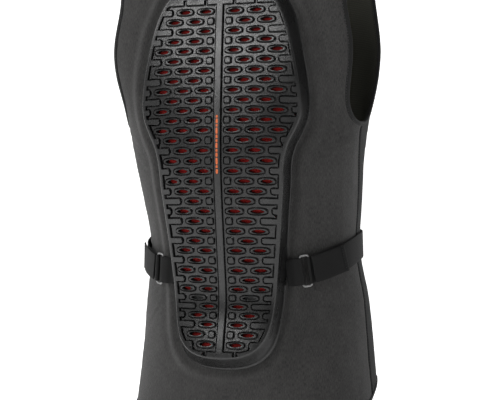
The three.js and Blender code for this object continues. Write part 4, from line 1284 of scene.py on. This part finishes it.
ZIP_BASE = np.array([0, FRONT_TOP_Y + (SHOULDER_BASE + 636) * FRONT_LEAN, -636])
LEAN = math.asin(FRONT_LEAN)
ZIP_OUT = np.array([0, math.cos(LEAN), math.sin(LEAN)])
ZIP_UP = np.array([0, -math.sin(LEAN), math.cos(LEAN)])


def on_zip(x, out, up):
    x, out, up = np.broadcast_arrays(*(np.asarray(v, float) for v in (x, out, up)))
    across = np.stack([x, np.zeros_like(x), np.zeros_like(x)], -1)
    return ZIP_BASE + across + out[..., None] * ZIP_OUT + up[..., None] * ZIP_UP


TOOTH = np.array([[-0.9, -1.9, -0.52], [4.1, -2.6, -0.52], [4.1, -0.1, -0.52], [-0.9, -0.3, -0.52],
                  [-0.9, -1.9, 0.52], [4.1, -2.6, 0.52], [4.1, -0.1, 0.52], [-0.9, -0.3, 0.52],
                  [0.8, 0.3, -0.4], [3.0, 0.3, -0.4], [3.0, 0.3, 0.4], [0.8, 0.3, 0.4]])
TOOTH_FACES = [[0, 1, 5, 4], [1, 2, 6, 5], [0, 4, 7, 3], [0, 3, 2, 1], [4, 5, 6, 7],
               [3, 8, 9, 2], [7, 6, 10, 11], [3, 7, 11, 8], [2, 9, 10, 6], [8, 11, 10, 9]]
for side, sign in (("right", 1), ("left", -1)):
    up = np.arange(9.2 + (1.15 if sign < 0 else 0), 516.2, 2.3)
    corners = on_zip(sign * TOOTH[None, :, 0], TOOTH[None, :, 1], up[:, None] + TOOTH[None, :, 2])
    faces = [[12 * i + v for v in (f if sign < 0 else f[::-1])] for i in range(len(up)) for f in TOOTH_FACES]
    make(f"zip_teeth_row_{side}", corners, faces, material=TEETH, slot="teeth",
         replaces=(f"zip_teeth_{side}",), sharp=30)
    edge = np.linspace(0, 1, 180)
    path = (on_zip(sign * 9.2, -1.75, 2 + edge * 529), np.repeat(ZIP_OUT[None, :], 180, axis=0))
    make(f"zip_tape_web_{side}", *sweep(*path, band(12.4, -0.45, 0.45, corner=0.3, across=6)),
         material=BINDING, slot="binding", replaces=(f"zip_tape_{side}",))
    path = (on_zip(sign * 16.5, 0.4, 6 + edge * 516), np.repeat(ZIP_OUT[None, :], 180, axis=0))
    stitches(f"zip_stitches_{side}", path, lift=-0.35)

for name, material in (("zip_slider", METAL), ("zip_pull", METAL), ("zip_stop_right", METAL),
                       ("zip_stop_left", METAL), ("zip_pin", TEETH), ("zip_box", TEETH)):
    node = frame["nodes"][name]
    node.data.materials.clear()
    node.data.materials.append(material)
    bevel = node.modifiers.new("soft_edges", "BEVEL")
    bevel.width = 0.35 * MM
    bevel.segments = 2
    bevel.limit_method = "ANGLE"

HANGER = {"half": 22, "stand": 9, "z": -42, "base": -7.4}
t = np.linspace(-1, 1, 61)
x = t * HANGER["half"]
stand = HANGER["stand"] * ease(np.clip((1 - np.abs(t)) / 0.55, 0, 1))
middle = over_back(x, HANGER["z"], HANGER["base"] - stand)
normals = -unit(over_back(0, HANGER["z"], 1.0) - over_back(0, HANGER["z"], 0.0))
normals = np.repeat(normals[None, :], len(t), axis=0)
make("hanger_tape", *sweep(middle, normals, band(8, 0, 1.2, corner=0.4, across=6)), material=BINDING,
     slot="binding", replaces=("hanger_loop",))

# ---------------------------------------------------------------- floor and backdrop

size, near, depth, height, cove = 9.0, -6.0, 3.5, 5.0, 1.2
profile = [(near, GROUND)]
profile += [(depth - cove + cove * math.sin(a), GROUND + cove - cove * math.cos(a))
            for a in np.linspace(0, math.pi / 2, 16)]
profile.append((depth, height))
sweep_points = [(sx * size / MM, y / MM, z / MM) for y, z in profile for sx in (-1, 1)]
floor = make("floor", sweep_points, grid_faces(len(profile), 2), body=None)
floor.rotation_euler = (0, 0, VIEW_TURN)
pale = Nodes("pale_floor", 0.9, specular=0.1)
speck = pale.noise(pale.place(400, 400, 400), 2)
pale.color(pale.ramp(speck, (0.0, grey(0.86)), (1.0, grey(0.9))))
pale.shader.inputs["Emission Color"].default_value = (1, 1, 1, 1)
pale.shader.inputs["Emission Strength"].default_value = 0.75
floor.data.materials.append(pale.material)

world = bpy.data.worlds.new("studio")
world.use_nodes = True
world.node_tree.nodes["Background"].inputs["Color"].default_value = (1, 1, 1, 1)
world.node_tree.nodes["Background"].inputs["Strength"].default_value = 0.16
scene.world = world
scene.view_settings.view_transform = "Standard"
